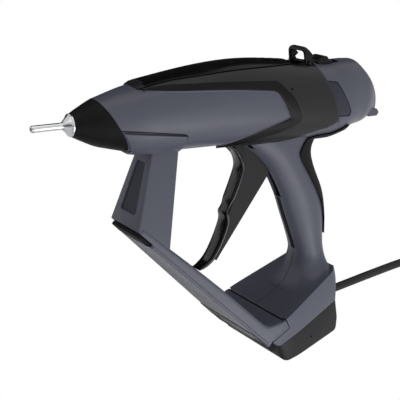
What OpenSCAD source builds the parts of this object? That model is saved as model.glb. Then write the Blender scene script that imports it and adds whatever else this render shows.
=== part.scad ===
// Hot glue applicator for 11 mm sticks, resting nozzle down on its own stand.
// The gun is drawn with its barrel axis along X (nozzle at -X, stick inlet at +X) and Y across it.
// rest() then tips it onto its feet, so the part stands on Z = 0.

/* [Nozzle] */
// Length of the thin nozzle tube
tip_len = 24; // [16:1:30]
// Outer diameter of the thin nozzle tube
tip_d = 5.2; // [4.4:0.2:7]
// Diameter of the glue orifice
orifice_d = 2; // [1:0.2:3]
// Length of the nozzle's cone
cone_len = 6.5; // [4:0.5:9]
// Diameter of the nozzle's cone at its base
cone_d = 17; // [15:0.5:19]
// Diameter of the threaded shank behind the cone
shank_d = 12; // [10:0.5:13]

/* [Nose] */
// Length of the nose cone, from its seam on the axis to its front
nose_len = 26.5; // [24:0.5:30]
// Wall of the nose cone
nose_wall = 2.2; // [1.6:0.2:2.6]
// Lean of the seam behind the nose cone
nose_lean = 32; // [26:1:36]

/* [Barrel] */
// Reference plane to the nose seam, along the axis
barrel_front = 83; // [80:1:90]
// Reference plane to the rear cap's seam, along the axis
barrel_rear = 109; // [106:1:116]
// Radius of the barrel under the nose cone
front_r = 17; // [16:0.5:19]
// Radius of the barrel at its shoulder
shoulder_r = 24.6; // [23:0.2:27]
// Height of the barrel's top over the axis
barrel_top = 35.4; // [34:0.2:37]
// Depth of the barrel's bottom under the axis
barrel_bottom = 28; // [27:0.2:30]
// Half width of the barrel
barrel_w = 28; // [26.5:0.5:32]
// Wall of the housing
wall = 2.4; // [1.8:0.2:3]
// Thickness of the side panels
panel_t = 1.8; // [1:0.2:2.6]
// Thickness of the top cover
cover_t = 2.2; // [1.6:0.2:3]

/* [Rear cap] */
// Length of the rear cap behind its seam
cap_len = 51; // [49:1:56]
// Height of the rear cap's top over the axis
cap_top = 30.6; // [29.5:0.2:33]
// Lean of the seam in front of the rear cap
cap_lean = 21; // [14:1:26]
// Lean of the face around the stick inlet
inlet_lean = 19; // [10:1:24]
// Diameter of the glue sticks
stick_d = 11.2; // [10.8:0.1:11.6]
// Clearance of the stick in its bores
stick_gap = 0.3; // [0.2:0.05:0.5]

/* [Grip] */
// Half width of the grip
grip_w = 16.4; // [15:0.2:19]
// Front to back of the grip at the fingers
grip_depth = 38; // [36:0.5:44]
// Thickness of the soft insert
pad_t = 1.5; // [1:0.1:2.4]

/* [Trigger] */
// Full pull of the trigger
pull_angle = 26; // [20:1:28]
// Pivot to the barrel axis
pivot_drop = 24; // [23:0.2:25]
// Diameter of the trigger pin
pin_d = 5; // [4:0.2:6]
// Thickness of the trigger's web
web_t = 7.2; // [5:0.2:8]
// Width of the finger band
band_w = 14.6; // [12:0.2:20]

/* [Feed] */
// Wall of the stick guide tube
guide_wall = 1.3; // [1:0.1:1.6]
// Wall of the feed carriage
carriage_wall = 2; // [1.6:0.1:2.2]
// Diameter of the carriage's drive pins
drive_pin_d = 4.8; // [4:0.2:5.2]

/* [Heater] */
// Length of the melt chamber
chamber_len = 76; // [70:1:80]
// Diameter of the melt chamber
chamber_d = 29; // [28.6:0.2:30]
// Diameter of a heater cartridge
heater_d = 5.2; // [4:0.2:5.4]

/* [Base] */
// Length of the base along its parting line
base_len = 68.4; // [64:0.2:74]
// Half width of the base
base_w = 42.3; // [40:0.5:48]
// Depth of the black cover at its rear
cover_depth = 23.4; // [20:0.2:26]
// Wall of the base and its cover
base_wall = 2.4; // [1.8:0.2:3]
// Thickness of the circuit board
board_t = 1.6; // [1.2:0.2:2]

/* [Stand] */
// Angle between the barrel and the surface that the gun stands on
rest_tilt = 44; // [42:0.5:46]
// Half width of the leg at its foot
foot_w = 23; // [20:0.5:27]
// Thickness of the stand's collar on the barrel
collar_t = 2.2; // [1.6:0.2:2.8]
// Length of the beam in front of the base
beam_len = 148; // [142:1:150]
// Thickness of the front foot
foot_t = 4.4; // [3.6:0.2:5]

/* [Top] */
// Height of the bail over its pin
bail_h = 12.4; // [10:0.2:13]
// Width of the bail
bail_w = 23.6; // [20:0.2:24.4]
// Travel of the power slider
slider_travel = 6.5; // [4:0.5:7]

/* [Cord] */
// Diameter of the cord
cord_d = 7; // [6:0.2:7.2]
// Space between the coil's loops
cord_gap = 0.8; // [0.6:0.1:1.2]
// Loops in each layer of the coil
coil_loops = 3; // [1:1:4]

/* [Clearances] */
// Gap between pieces that seat on each other
fit = 0.1; // [0.05:0.05:0.2]
// Radial running gap of pins and sleeves
run = 0.05; // [0.02:0.01:0.08]
// Gap at visible seams and between moving pieces
gap = 0.4; // [0.3:0.05:0.5]

/* [Hidden] */
$fn = 64;

// Colours of the mouldings
grey = "#6b6f7c";
charcoal = "#3a393b";
black = "#17171a";
steel = "#c3c6ca";
brass = "#b99a4e";

// Larger than the part, for cutting planes
big = 400;

// Places along the barrel axis
nose_x = -barrel_front - nose_len;
tip_x = nose_x - cone_len - tip_len;
cap_x = barrel_rear + 3;
end_x = cap_x + cap_len;
chamber_rear = -8;
chamber_front = chamber_rear - chamber_len;
shank_in = 8;

// Sections of the barrel and rear cap: [x, top, bottom, half width]
sections = [
    [-barrel_front - 9, front_r, front_r, front_r],
    [-58, shoulder_r + 1, shoulder_r, shoulder_r],
    [25, barrel_top, barrel_bottom, barrel_w],
    [cap_x, barrel_top - 6.2, barrel_bottom + 2.9, barrel_w - 1.4],
    [cap_x + 15, cap_top, barrel_bottom, barrel_w - 2],
    [end_x - 24, cap_top, barrel_bottom - 3.4, barrel_w - 4.2],
    [end_x - 14, cap_top - 1.4, barrel_bottom - 5.2, barrel_w - 6.6],
    [end_x - 5, cap_top - 6.4, barrel_bottom - 8.5, barrel_w - 11.6],
    [end_x + 5, cap_top - 17, barrel_bottom - 10.5, barrel_w - 18]
];
squareness = 2.25;

// Sections of the grip: [height, front, back, half width]
grip_sections = [
    [-148, 95, 116, grip_w + 1],
    [-128, 93, 116.8, grip_w],
    [-113, 88, 118.6 - pad_t, grip_w - 0.6],
    [-94, 118.5 - grip_depth, 118 - pad_t, grip_w],
    [-75, 111 - grip_depth, 114.6 - pad_t, grip_w],
    [-52, 60, 105 - pad_t, grip_w - 1],
    [-40, 49, 103 - pad_t, grip_w - 1.4],
    [-30, 36, 108 - pad_t, grip_w - 2],
    [-20, 24, 118 - pad_t, grip_w - 3]
];

// Trigger pivot and the lean of its fork at rest
pivot = [46, 0, -pivot_drop];
fork_lean = pull_angle / 2;
drive_x = pivot[0] + pivot_drop * tan(fork_lean);

// Stick bore and guide tube
bore_r = stick_d / 2 + stick_gap;
guide_r = bore_r + guide_wall;
guide_front = 38;
guide_rear = end_x - 8;
carriage_r = guide_r + run + carriage_wall;
carriage_back = drive_x + 10.6;
carriage_front = drive_x - 29;

// Base frame: u along the parting line, v square to it, from the parting line's front end
base_x = 50.2;
base_z = -189.5;
base_tilt = 20.5;
base_taper = 15.5;
cord_pitch = 8.3;
rear_lean = base_tilt - cord_pitch;
apex = [-0.5, -17.6];
clip = [-4.1, 6.2];
lip = [14, 17.9];
heel = [base_len + 13, 28.9];
cover_rear = [base_len - cover_depth * tan(rear_lean), -cover_depth];
gland = [base_len - 7.5 * tan(rear_lean), -7.5];
gland_len = 21;
function base_pt(p) = [base_x + p[0] * cos(base_tilt) - p[1] * sin(base_tilt),
    base_z + p[0] * sin(base_tilt) + p[1] * cos(base_tilt)];

// Standing frame: s along the surface from the apex, t above the apex
apex_pt = base_pt(apex);
flat_depth = 1.6;
function stand_pt(p) = let(d = p - apex_pt) [d[0] * cos(rest_tilt) - d[1] * sin(rest_tilt),
    d[0] * sin(rest_tilt) + d[1] * cos(rest_tilt)];
tip_s = stand_pt([tip_x, 0])[0] - tip_d / 2 * sin(rest_tilt);
rear_s = stand_pt(base_pt(cover_rear))[0];
mid_s = (tip_s + rear_s) / 2;
function row_pt(p) = let(q = stand_pt(p)) [q[0] - mid_s, 0, q[1] - flat_depth];
seam_s = stand_pt(base_pt(lip))[0];

// Screws: [x, z] of the housing's, [u, y] of the base's
housing_screw_at = [[-40, 21.6], [97, -20], [93, -74], [99, -112]];
base_screw_at = [for (p = [[12, 31], [50, 24.6]], s = [-1, 1]) [p[0], s * p[1]]];
screw_d = 3.4;
head_d = 6;
boss_r = 4.9;
seat_y = 9;
post_r = 4;

// Bail and slider
bail_pin_d = 3;
bail_at = [barrel_rear - 17, barrel_top - 3.6];
bail_lean = 25;
bail_leg = 3.6;
pocket = [bail_at[0] - bail_h - 4.6, bail_at[0] + 3 + gap];
pocket_w = bail_w + 2 * gap;
pocket_floor = bail_at[1] - 3 - gap;
tub_t = 2;
slider_len = 14.4;
slider_w = 13;
slider_x = cap_x + 0.4;
slider_floor = cap_top - 2.6;
stem_w = 4;

// Coil and cord in the standing frame
coil_at = [332, -18];
tie_t = 1;
coil_pitch = cord_d + cord_gap;
coil_in = 30;
coil_out = coil_in + coil_pitch * coil_loops;
coil_low = tie_t + fit + cord_d / 2 + 0.3;
coil_turn = 360 * (2 * coil_loops + 0.75);
coil_start = 0;
way = [cos(rest_tilt + cord_pitch), 0, sin(rest_tilt + cord_pitch)];
relief_end = row_pt(base_pt(gland)) + gland_len * way;
// Plug: the middle of its rear end, its heading, and its pins
plug_len = 36;
plug_h = 14;
plug_z = coil_low + coil_pitch + cord_d / 2 + gap + plug_h / 2;
plug_turn = -110;
pin_len = 19;
pin_r = 2;
pin_root = 2.6;
pin_y0 = 9.3;

// The cord's way from the strain relief to the coil, and from the coil to the plug
cord_route = [[172, 0, 96.5], [184, 0, 112], [208, 0, 142], [232, 0, 168], [260, 1, 186], [292, 5, 190],
    [324, 10, 178], [350, 17, 154], [370, 24, 122], [381, 29.4, 88], [385.4, 32, 50.7], [385.4, 26.9, 31.7],
    [385.4, 13, 17.8]];
function round_coil(a, out, z) = [coil_at[0] + (coil_out + out) * cos(a), coil_at[1] + (coil_out + out) * sin(a),
    z];
tail_route = [round_coil(75, 3.1, 6.5), round_coil(58, 4, 11.4), round_coil(40, 0.6, 17.4),
    round_coil(22, -5, 22), round_coil(5, -9.4, plug_z)];
plug_at = round_coil(-8, -11.9, plug_z);

// Mathematics
function unit(v) = v / norm(v);
function sgnpow(v, e) = sign(v) * pow(abs(v), e);
function place(p, x) = max([0, for (j = [0:len(p) - 2]) if (x >= p[j][0]) j]);
function rise(p, j, k) = let(a = max(j - 1, 0), b = min(j + 1, len(p) - 1))
    (p[b][k] - p[a][k]) / (p[b][0] - p[a][0]);
// Smooth value of column k of the table p at x
function blend(p, x, k) = let(i = place(p, x), h = p[i + 1][0] - p[i][0], s = (x - p[i][0]) / h)
    (2 * pow(s, 3) - 3 * s * s + 1) * p[i][k] + (pow(s, 3) - 2 * s * s + s) * h * rise(p, i, k)
    + (3 * s * s - 2 * pow(s, 3)) * p[i + 1][k] + (pow(s, 3) - s * s) * h * rise(p, i + 1, k);
// Smooth curve through points, with n steps between each two
function spline(a, b, c, d, s) = 0.5 * (2 * b + (c - a) * s + (2 * a - 5 * b + 4 * c - d) * s * s
    + (3 * b - a - 3 * c + d) * pow(s, 3));
function curve(p, n) = let(m = len(p) - 1) concat([for (i = [0:m - 1], k = [0:n - 1])
    spline(p[max(i - 1, 0)], p[i], p[i + 1], p[min(i + 2, m)], k / n)], [p[m]]);
function tangents(p) = [for (i = [0:len(p) - 1]) unit(p[min(i + 1, len(p) - 1)] - p[max(i - 1, 0)])];
function carry(t, n, i = 0) = i == len(t) ? [] :
    let(m = unit(n - (n * t[i]) * t[i])) concat([m], carry(t, m, i + 1));

// Rings of the lofts
ring_n = 32;
function oval(x, inset) = let(t = blend(sections, x, 1) - inset, b = blend(sections, x, 2) - inset,
    w = blend(sections, x, 3) - inset) [for (i = [0:ring_n - 1]) let(a = 360 * i / ring_n)
    [x, w * sgnpow(cos(a), 2 / squareness), (t - b) / 2 + (t + b) / 2 * sgnpow(sin(a), 2 / squareness)]];
function grip_ring(z, inset) = let(f = blend(grip_sections, z, 1) + inset,
    b = blend(grip_sections, z, 2) - inset, w = blend(grip_sections, z, 3) - inset)
    [for (i = [0:ring_n - 1]) let(a = 360 * i / ring_n)
    [(f + b) / 2 + (b - f) / 2 * sgnpow(cos(a), 2 / squareness), w * sgnpow(sin(a), 2 / squareness), z]];

// Solid between rings of points
module loft(rings) {
    n = len(rings[0]);
    m = len(rings);
    sides = [for (j = [0:m - 2], i = [0:n - 1]) let(a = j * n + i, b = j * n + (i + 1) % n)
        each [[a, a + n, b + n], [a, b + n, b]]];
    caps = [[for (i = [0:n - 1]) i], [for (i = [n - 1:-1:0]) (m - 1) * n + i]];
    polyhedron([for (r = rings) each r], concat(sides, caps));
}

// Round tube along points
module tube(p, r, n) {
    t = tangents(p);
    m = carry(t, abs(t[0][1]) < 0.8 ? [0, 1, 0] : [0, 0, 1]);
    loft([for (i = [0:len(p) - 1]) let(c = cross(t[i], m[i])) [for (k = [0:n - 1])
        p[i] + r * (m[i] * cos(360 * k / n) + c * sin(360 * k / n))]]);
}

// A moulding: one skin, in which bores are cut afterwards
module moulded() {
    resize([0, 0, 0]) {
        children();
    }
}

// The gun on its feet
module rest() {
    translate([-mid_s, 0, -flat_depth]) rotate([0, -rest_tilt, 0]) translate([-apex_pt[0], 0, -apex_pt[1]])
        children();
}
// From the gun's frame to the surface that it stands on
module on_surface() {
    translate([apex_pt[0], 0, apex_pt[1]]) rotate([0, rest_tilt, 0]) children();
}
module at_base() {
    translate([base_x, 0, base_z]) rotate([0, -base_tilt, 0]) children();
}
// Round things along X, and outlines drawn in X and Z with a thickness across
module along(x) {
    translate([x, 0, 0]) rotate([0, 90, 0]) children();
}
module turned(points) {
    rotate([0, 90, 0]) rotate_extrude() polygon([for (p = points) [p[1], p[0]]]);
}
module across(w) {
    rotate([90, 0, 0]) linear_extrude(w, center = true) children();
}
module pin_y(x, z, r, y0, y1) {
    translate([x, y1, z]) rotate([90, 0, 0]) cylinder(r = r, h = y1 - y0);
}
module box(x, y, z) {
    translate([x[0], y[0], z[0]]) cube([x[1] - x[0], y[1] - y[0], z[1] - z[0]]);
}
// Everything behind a leaning plane through the axis at x
module behind(x, lean) {
    translate([x, 0, 0]) rotate([0, -lean, 0]) translate([0, -big, -big]) cube(2 * big);
}
module side(s) {
    translate([-big / 2, s > 0 ? 0 : -big, -big / 2]) cube(big);
}

// Skins
module barrel_solid(inset, from = -barrel_front - 9, to = end_x + 5, n = 20) {
    loft([for (i = [0:n]) oval(from + (to - from) * i / n, inset)]);
}
module barrel_layer(t) {
    difference() {
        barrel_solid(-fit - t);
        barrel_solid(-fit);
    }
}
module grip_solid(inset, low = -148, high = -20, n = 10) {
    loft([for (i = [0:n]) grip_ring(low + (high - low) * i / n, inset)]);
}
module base_outline() {
    polygon([[0, 0], [base_len, 0], heel, lip, clip]);
}
module cover_outline() {
    polygon([[0, 0], [base_len, 0], cover_rear, apex]);
}
// Plan of the base, which narrows to the back
module base_plan(inset) {
    w = base_w - inset;
    back = w - base_taper;
    polygon([[-12, -w], [lip[0], -w], [heel[0] - 4, -back], [heel[0] + 2, 8 - back], [heel[0] + 2, back - 8],
        [heel[0] - 4, back], [lip[0], w], [-12, w]]);
}
module base_block(inset) {
    intersection() {
        across(2 * base_w) offset(delta = -inset) children();
        translate([0, 0, -big / 2]) linear_extrude(big) base_plan(inset);
    }
}
module base_hollow() {
    base_block(base_wall) polygon([[0, -cover_depth], [base_len, -cover_depth], [base_len, 0], heel, lip,
        clip, [0, 0]]);
}

// Housing
module housing_bosses() {
    for (p = housing_screw_at) pin_y(p[0], p[1], boss_r, -big / 8, big / 8, $fn = 24);
    for (s = [-1, 1]) pin_y(pivot[0], pivot[2], pin_d / 2 + 2.6, s > 0 ? 8 + gap : -18, s > 0 ? 18 : -8 - gap,
        $fn = 24);
    for (p = base_screw_at) at_base() translate([p[0], p[1], 0]) cylinder(r = post_r, h = 40, $fn = 24);
}
module housing_skin() {
    difference() {
        barrel_solid(0);
        behind(barrel_rear, cap_lean);
    }
    difference() {
        grip_solid(0);
        behind(barrel_rear + 14, cap_lean);
    }
    at_base() base_block(0) base_outline();
}
module housing_space() {
    barrel_solid(wall);
    grip_solid(wall);
    at_base() base_hollow();
}
module housing_openings() {
    difference() {
        translate([-big / 2, -big / 2, -big / 2]) cube(big);
        behind(-barrel_front + gap, nose_lean);
    }
    box([pivot[0] - 13, 80], [-8 - gap, 8 + gap], [-36, -22]);
    box([pivot[0] - 8, 82], [-web_t / 2 - 2 * gap, web_t / 2 + 2 * gap], [-78, -26]);
    pocket_tub(gap);
}
// The bail's pocket with its walls
module pocket_tub(grow) {
    w = pocket_w / 2 + tub_t + grow;
    box([pocket[0] - tub_t - grow, pocket[1] + tub_t + grow], [-w, w], [pocket_floor - tub_t - grow, 60]);
}
module housing_shell(s) {
    moulded() intersection() {
        difference() {
            union() {
                difference() {
                    housing_skin();
                    housing_space();
                }
                intersection() {
                    housing_bosses();
                    housing_skin();
                }
            }
            housing_openings();
        }
        side(s);
    }
}
module screw_bores(s) {
    for (p = housing_screw_at) {
        pin_y(p[0], p[1], screw_d / 2 + run, -seat_y, big / 8);
        if (s > 0) pin_y(p[0], p[1], head_d / 2 + gap, seat_y, big / 8);
    }
    for (p = base_screw_at) at_base() translate([p[0], p[1], -1]) cylinder(r = screw_d / 2 + run, h = 10);
    pin_y(pivot[0], pivot[2], pin_d / 2 + run, -16, 16);
}
module housing_left() {
    color(grey) rest() difference() {
        housing_shell(-1);
        screw_bores(-1);
    }
}
module housing_right() {
    color(grey) rest() difference() {
        housing_shell(1);
        screw_bores(1);
    }
}
module housing_screws() {
    color(steel) rest() for (p = housing_screw_at) {
        pin_y(p[0], p[1], screw_d / 2, -seat_y + 1, seat_y + fit);
        pin_y(p[0], p[1], head_d / 2, seat_y + fit, seat_y + 2.4);
    }
}

// Outlines on the side of the barrel, in X and Z
panel_top = curve([[-58, 22.8], [-32, 26.8], [10, 30], [55, 30.5], [104, 29.6]], 3);
module window_outline() {
    polygon(concat([[-58.4, 22.6]], curve([[-56, 22.2], [-31, 21.3], [10, 19.2], [45, 15.8], [52, 13]], 2),
        [[58, 5.6], [64.4, -6.5], [42, -13.7], [23, -20.5], [8, -28.6], [8, -60], [-120, -60], [-120, 22.6]]));
}
module panel_outline() {
    difference() {
        polygon(concat(panel_top, [[140, 29], [140, -14], [117, -15], [96, -19.5], [71, -25.7], [52, -29],
            [30, -31], [8, -31]], [[-58, 20]]));
        window_outline();
    }
}
module panel(s) {
    moulded() intersection() {
        difference() {
            barrel_layer(panel_t);
            behind(barrel_rear - gap, cap_lean);
            box([-big, big], [-8 - gap, 8 + gap], [-60, 0]);
            grip_solid(-fit);
            pocket_tub(gap);
        }
        across(big) panel_outline();
        side(s);
    }
}
module side_panel_left() {
    color(charcoal) rest() difference() {
        panel(-1);
        pin_y(64.7, 15.8, 0.9, -big / 8, big / 8, $fn = 24);
    }
}
module side_panel_right() {
    color(charcoal) rest() panel(1);
}
module top_cover() {
    front = [[-60.5, 60], [-60.5, 23.4]];
    color(black) rest() difference() {
        moulded() difference() {
            union() {
                intersection() {
                    barrel_layer(cover_t);
                    across(big) polygon(concat(front, [for (p = panel_top) p + [0, gap]], [[140, 60]]));
                }
                intersection() {
                    pocket_tub(0);
                    barrel_solid(-fit - cover_t);
                }
            }
            behind(barrel_rear - gap, cap_lean);
            box(pocket, [-pocket_w / 2, pocket_w / 2], [pocket_floor, 60]);
        }
        pin_y(bail_at[0], bail_at[1], bail_pin_d / 2 + run, -pocket_w / 2 - 1.5, pocket_w / 2 + 1.5);
    }
}

// Rear cap
module recess_outline() {
    translate([cap_x, 0])
        polygon([[-8, 18.6], [0.6, 17], [3.2, 12.6], [14.9, -8.5], [13.6, -12], [5.3, -10.9], [-1, 2]]);
}
module recess(deep, shallow, w) {
    intersection() {
        difference() {
            barrel_solid(shallow);
            barrel_solid(deep);
        }
        across(big) offset(delta = -w) recess_outline();
    }
}
module slider_pocket(grow, low) {
    box([slider_x - slider_len / 2 - gap - grow, slider_x + slider_len / 2 + slider_travel + gap + grow],
        [-slider_w / 2 - gap - grow, slider_w / 2 + gap + grow], [low, 60]);
}
module rear_cap() {
    inlet_x = end_x - 3.5;
    color(grey) rest() difference() {
        moulded() difference() {
            union() {
                difference() {
                    intersection() {
                        barrel_solid(0);
                        behind(barrel_rear + gap, cap_lean);
                    }
                    barrel_solid(wall, to = end_x - 10);
                    recess(1.4, -1, 0);
                }
                intersection() {
                    union() {
                        along(guide_rear - 10) cylinder(r = guide_r + 2.6, h = 40, $fn = 40);
                        slider_pocket(tub_t, slider_floor - tub_t);
                    }
                    barrel_solid(0);
                }
                pin_y(end_x - 2.2, -14.5, 3.2, -8, 8, $fn = 24);
            }
            difference() {
                behind(inlet_x, inlet_lean);
                box([-big, big], [-8, 8], [-20, -11]);
            }
            slider_pocket(0, slider_floor);
            box([slider_x - stem_w / 2 - gap, slider_x + stem_w / 2 + slider_travel + gap],
                [-stem_w / 2 - gap, stem_w / 2 + gap], [10, 60]);
            grip_solid(wall);
        }
        along(guide_rear - 40) cylinder(r = guide_r + run, h = 40);
        along(guide_rear - 1) cylinder(r = bore_r, h = 40);
    }
}
module cap_inlays() {
    color(black) rest() moulded() recess(1.4 - fit, 0.7, gap);
}

// Nose and nozzle
module nose_cone() {
    front = cone_d / 2 + fit;
    slope = (front_r - front - 2) / (nose_len - 13.5);
    rear = -barrel_front + 16;
    tail = front + 2 + slope * (rear - nose_x - 5);
    color(black) rest() difference() {
        turned([[nose_x, shank_d / 2 + gap], [nose_x, front], [nose_x + 5, front + 2], [rear, tail],
            [rear, tail - nose_wall], [nose_x + 5, front + 2 - nose_wall], [nose_x + 3, shank_d / 2 + gap]]);
        behind(-barrel_front, nose_lean);
    }
}
module nozzle() {
    end = chamber_front + shank_in;
    throat = nose_x + 6;
    color(steel) rest() turned([[tip_x, orifice_d / 2], [tip_x, tip_d / 2 - 0.3], [tip_x + 1, tip_d / 2],
        [nose_x - cone_len, tip_d / 2], [nose_x - fit, cone_d / 2], [nose_x - fit, shank_d / 2],
        [end, shank_d / 2], [end, valve_r], [throat, valve_r], [throat - 2, orifice_d / 2]]);
}
valve_r = 3.2;
ball_r = 2.6;
ball_x = nose_x + 6 + ball_r;
module valve_ball() {
    color(steel) rest() translate([ball_x, 0, 0]) sphere(r = ball_r);
}
module helix(x0, x1, r, wire, turns) {
    n = 8;
    tube([for (i = [0:turns * n]) [x0 + (x1 - x0) * i / (turns * n), r * cos(360 * i / n),
        r * sin(360 * i / n)]], wire, 6);
}
module valve_spring() {
    color(steel) rest() helix(ball_x + ball_r + 0.7, chamber_front + shank_in - 1, valve_r - 0.8, 0.4, 5);
}

// Heating
heater_ring = bore_r + heater_d / 2 + 1.5;
heater_len = chamber_len - 24;
module cartridge_at(a, r, x, h) {
    rotate([a, 0, 0]) translate([0, 0, heater_ring]) along(x) cylinder(r = r, h = h);
}
module melt_chamber() {
    socket = chamber_front + shank_in + fit;
    color("silver") rest() difference() {
        turned([[chamber_front, shank_d / 2 + run], [chamber_front, chamber_d / 2],
            [chamber_rear, chamber_d / 2], [chamber_rear, bore_r], [socket + 12, bore_r], [socket, valve_r],
            [socket, shank_d / 2 + run]]);
        for (a = [0, 180]) cartridge_at(a, heater_d / 2 + run, chamber_rear - heater_len, big);
        cartridge_at(90, 2 + run, chamber_rear - 16, big);
    }
}
module heater_cartridges() {
    color(steel) rest() for (a = [0, 180])
        cartridge_at(a, heater_d / 2, chamber_rear - heater_len + fit, heater_len);
}
module temperature_sensor() {
    color(brass) rest() cartridge_at(90, 2, chamber_rear - 16 + fit, 18);
}
spacer_t = 4;
front_spacer_x = chamber_front + 20;
rear_spacer_x = chamber_rear - 10;
module spacer(x) {
    difference() {
        loft([oval(x, wall + gap), oval(x + spacer_t, wall + gap)]);
        along(x - 1) cylinder(r = chamber_d / 2 + run, h = spacer_t + 2);
    }
}
module front_spacer() {
    color("ivory") rest() spacer(front_spacer_x);
}
module rear_spacer() {
    color("ivory") rest() spacer(rear_spacer_x);
}
module heat_shield() {
    color(steel) rest() along(front_spacer_x + spacer_t + fit) difference() {
        cylinder(r = chamber_d / 2 + 1.6, h = rear_spacer_x - front_spacer_x - spacer_t - 2 * fit);
        translate([0, 0, -1]) cylinder(r = chamber_d / 2 + 0.9, h = big);
    }
}
module inlet_sleeve() {
    color("sandybrown") rest() along(chamber_rear + fit) difference() {
        cylinder(r = bore_r + 1.2, h = 15);
        translate([0, 0, -1]) cylinder(r = bore_r, h = big);
    }
}

// Stick feed
module stick_guide() {
    color(steel) rest() along(guide_front) difference() {
        cylinder(r = guide_r, h = guide_rear - guide_front - 1 - fit);
        translate([0, 0, -1]) cylinder(r = bore_r, h = big);
    }
}
bracket_x = barrel_rear - 25;
module guide_bracket() {
    color(charcoal) rest() difference() {
        loft([oval(bracket_x, wall + gap), oval(bracket_x + spacer_t, wall + gap)]);
        along(bracket_x - 1) cylinder(r = guide_r + run, h = spacer_t + 2);
        box([bracket_x - 1, bracket_x + spacer_t + 1], [-40, 40], [pocket_floor - tub_t - 1, 60]);
        box([bracket_x - 1, bracket_x + spacer_t + 1], [-40, 40], [-60, -16]);
    }
}
jaw_at = [drive_x - 17, carriage_r + 3.6];
jaw_pin_d = 2.6;
jaw_w = 5.6;
module feed_carriage() {
    step = guide_front - 2;
    color(brass) rest() difference() {
        union() {
            along(carriage_front) cylinder(r = carriage_r, h = carriage_back - carriage_front);
            pin_y(drive_x, 0, drive_pin_d / 2, -carriage_r - 4, carriage_r + 4);
            box([jaw_at[0] - 4, jaw_at[0] + 4], [-jaw_w / 2 - 2.6, jaw_w / 2 + 2.6], [3, jaw_at[1] + 3]);
        }
        along(step) cylinder(r = guide_r + run, h = big);
        along(carriage_front - 1) cylinder(r = bore_r + 0.2, h = big);
        box([jaw_at[0] - 9, jaw_at[0] + 7], [-jaw_w / 2 - gap, jaw_w / 2 + gap], [0, big]);
        pin_y(jaw_at[0], jaw_at[1], jaw_pin_d / 2 + run, -big, big);
    }
}
module clamp_jaw() {
    reach = jaw_at[1] - bore_r - 0.4;
    color(steel) rest() difference() {
        union() {
            pin_y(jaw_at[0], jaw_at[1], 3, -jaw_w / 2, jaw_w / 2);
            translate([jaw_at[0], 0, jaw_at[1]]) rotate([0, 24, 0])
                box([-2.2, 2.2], [-jaw_w / 2, jaw_w / 2], [-reach, 0]);
        }
        pin_y(jaw_at[0], jaw_at[1], jaw_pin_d / 2 + run, -big, big);
    }
}
module jaw_pin() {
    color(steel) rest() pin_y(jaw_at[0], jaw_at[1], jaw_pin_d / 2, -jaw_w / 2 - 2.6, jaw_w / 2 + 2.6);
}
module return_spring() {
    color(steel) rest() helix(carriage_back + 1.2, bracket_x - 1.2, guide_r + 1.6, 0.6, 6);
}

// Trigger
finger_line = curve([[29.5, -38], [33.2, -45], [32.8, -51], [28.4, -63], [22.6, -75.5], [19.2, -82.5],
    [20.2, -90], [15.4, -103.5], [8, -116.5], [0.6, -123]], 3);
band_t = 6;
module band_outline() {
    polygon(concat(finger_line, [[-4, -125], [-3.6, -127], [2, -126.6], [9, -123.4]],
        [for (i = [len(finger_line) - 3:-1:0]) finger_line[i] + [band_t, -1]]));
}
module web_outline() {
    rear = len(finger_line) - 3;
    polygon(concat([for (i = [0:rear]) finger_line[i] + [band_t + fit, -1]], [[14, -122],
        [62.6, -56.1], [54, -32], [51, -18], [42, -19], [37.5, -29.5]]));
}
module fork_space(w, r0, r1) {
    translate(pivot) rotate([0, fork_lean, 0]) box([-w, w], [-big, big], [r0, r1]);
}
module trigger() {
    arm_in = carriage_r + gap;
    arm_out = arm_in + 2.8;
    color(charcoal) rest() difference() {
        union() {
            across(web_t) web_outline();
            pin_y(pivot[0], pivot[2], pin_d / 2 + 3, -8, 8);
            translate(pivot) rotate([0, fork_lean, 0]) {
                box([-4.4, 4.4], [-8, 8], [0, pivot_drop - arm_in - 1]);
                difference() {
                    box([-4.4, 4.4], [-arm_out, arm_out], [pin_d / 2 + 3.2, pivot_drop + 5]);
                    box([-6, 6], [-arm_in, arm_in], [pivot_drop - arm_in - 1, big]);
                }
            }
        }
        fork_space(drive_pin_d / 2 + gap, pivot_drop - drive_pin_d / 2 - 1, big);
        pin_y(pivot[0], pivot[2], pin_d / 2 + run, -big, big);
    }
}
module trigger_pad() {
    color(black) rest() across(band_w) band_outline();
}
module trigger_pin() {
    color(steel) rest() pin_y(pivot[0], pivot[2], pin_d / 2, -11.4, 11.4);
}

// Soft parts of the grip
module grip_layer(t) {
    difference() {
        union() {
            grip_solid(-fit - t);
            barrel_solid(-fit - t);
        }
        grip_solid(-fit);
        barrel_solid(-fit);
    }
}
module grip_pad() {
    edge = curve([[140, -18], [114, -25.8], [95.6, -27.9], [86.1, -37.1], [85.4, -44.4], [97.1, -63.6],
        [111.3, -89.7], [116, -113]], 3);
    color(black) rest() moulded() intersection() {
        grip_layer(pad_t);
        across(big) polygon(concat(edge, [[150, -113], [150, -18]]));
    }
}
module grip_strip() {
    color(black) rest() moulded() intersection() {
        difference() {
            grip_solid(-fit - 0.8);
            grip_solid(-fit);
        }
        box([0, 100], [-2.4, 2.4], [-125, -79]);
    }
}

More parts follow.
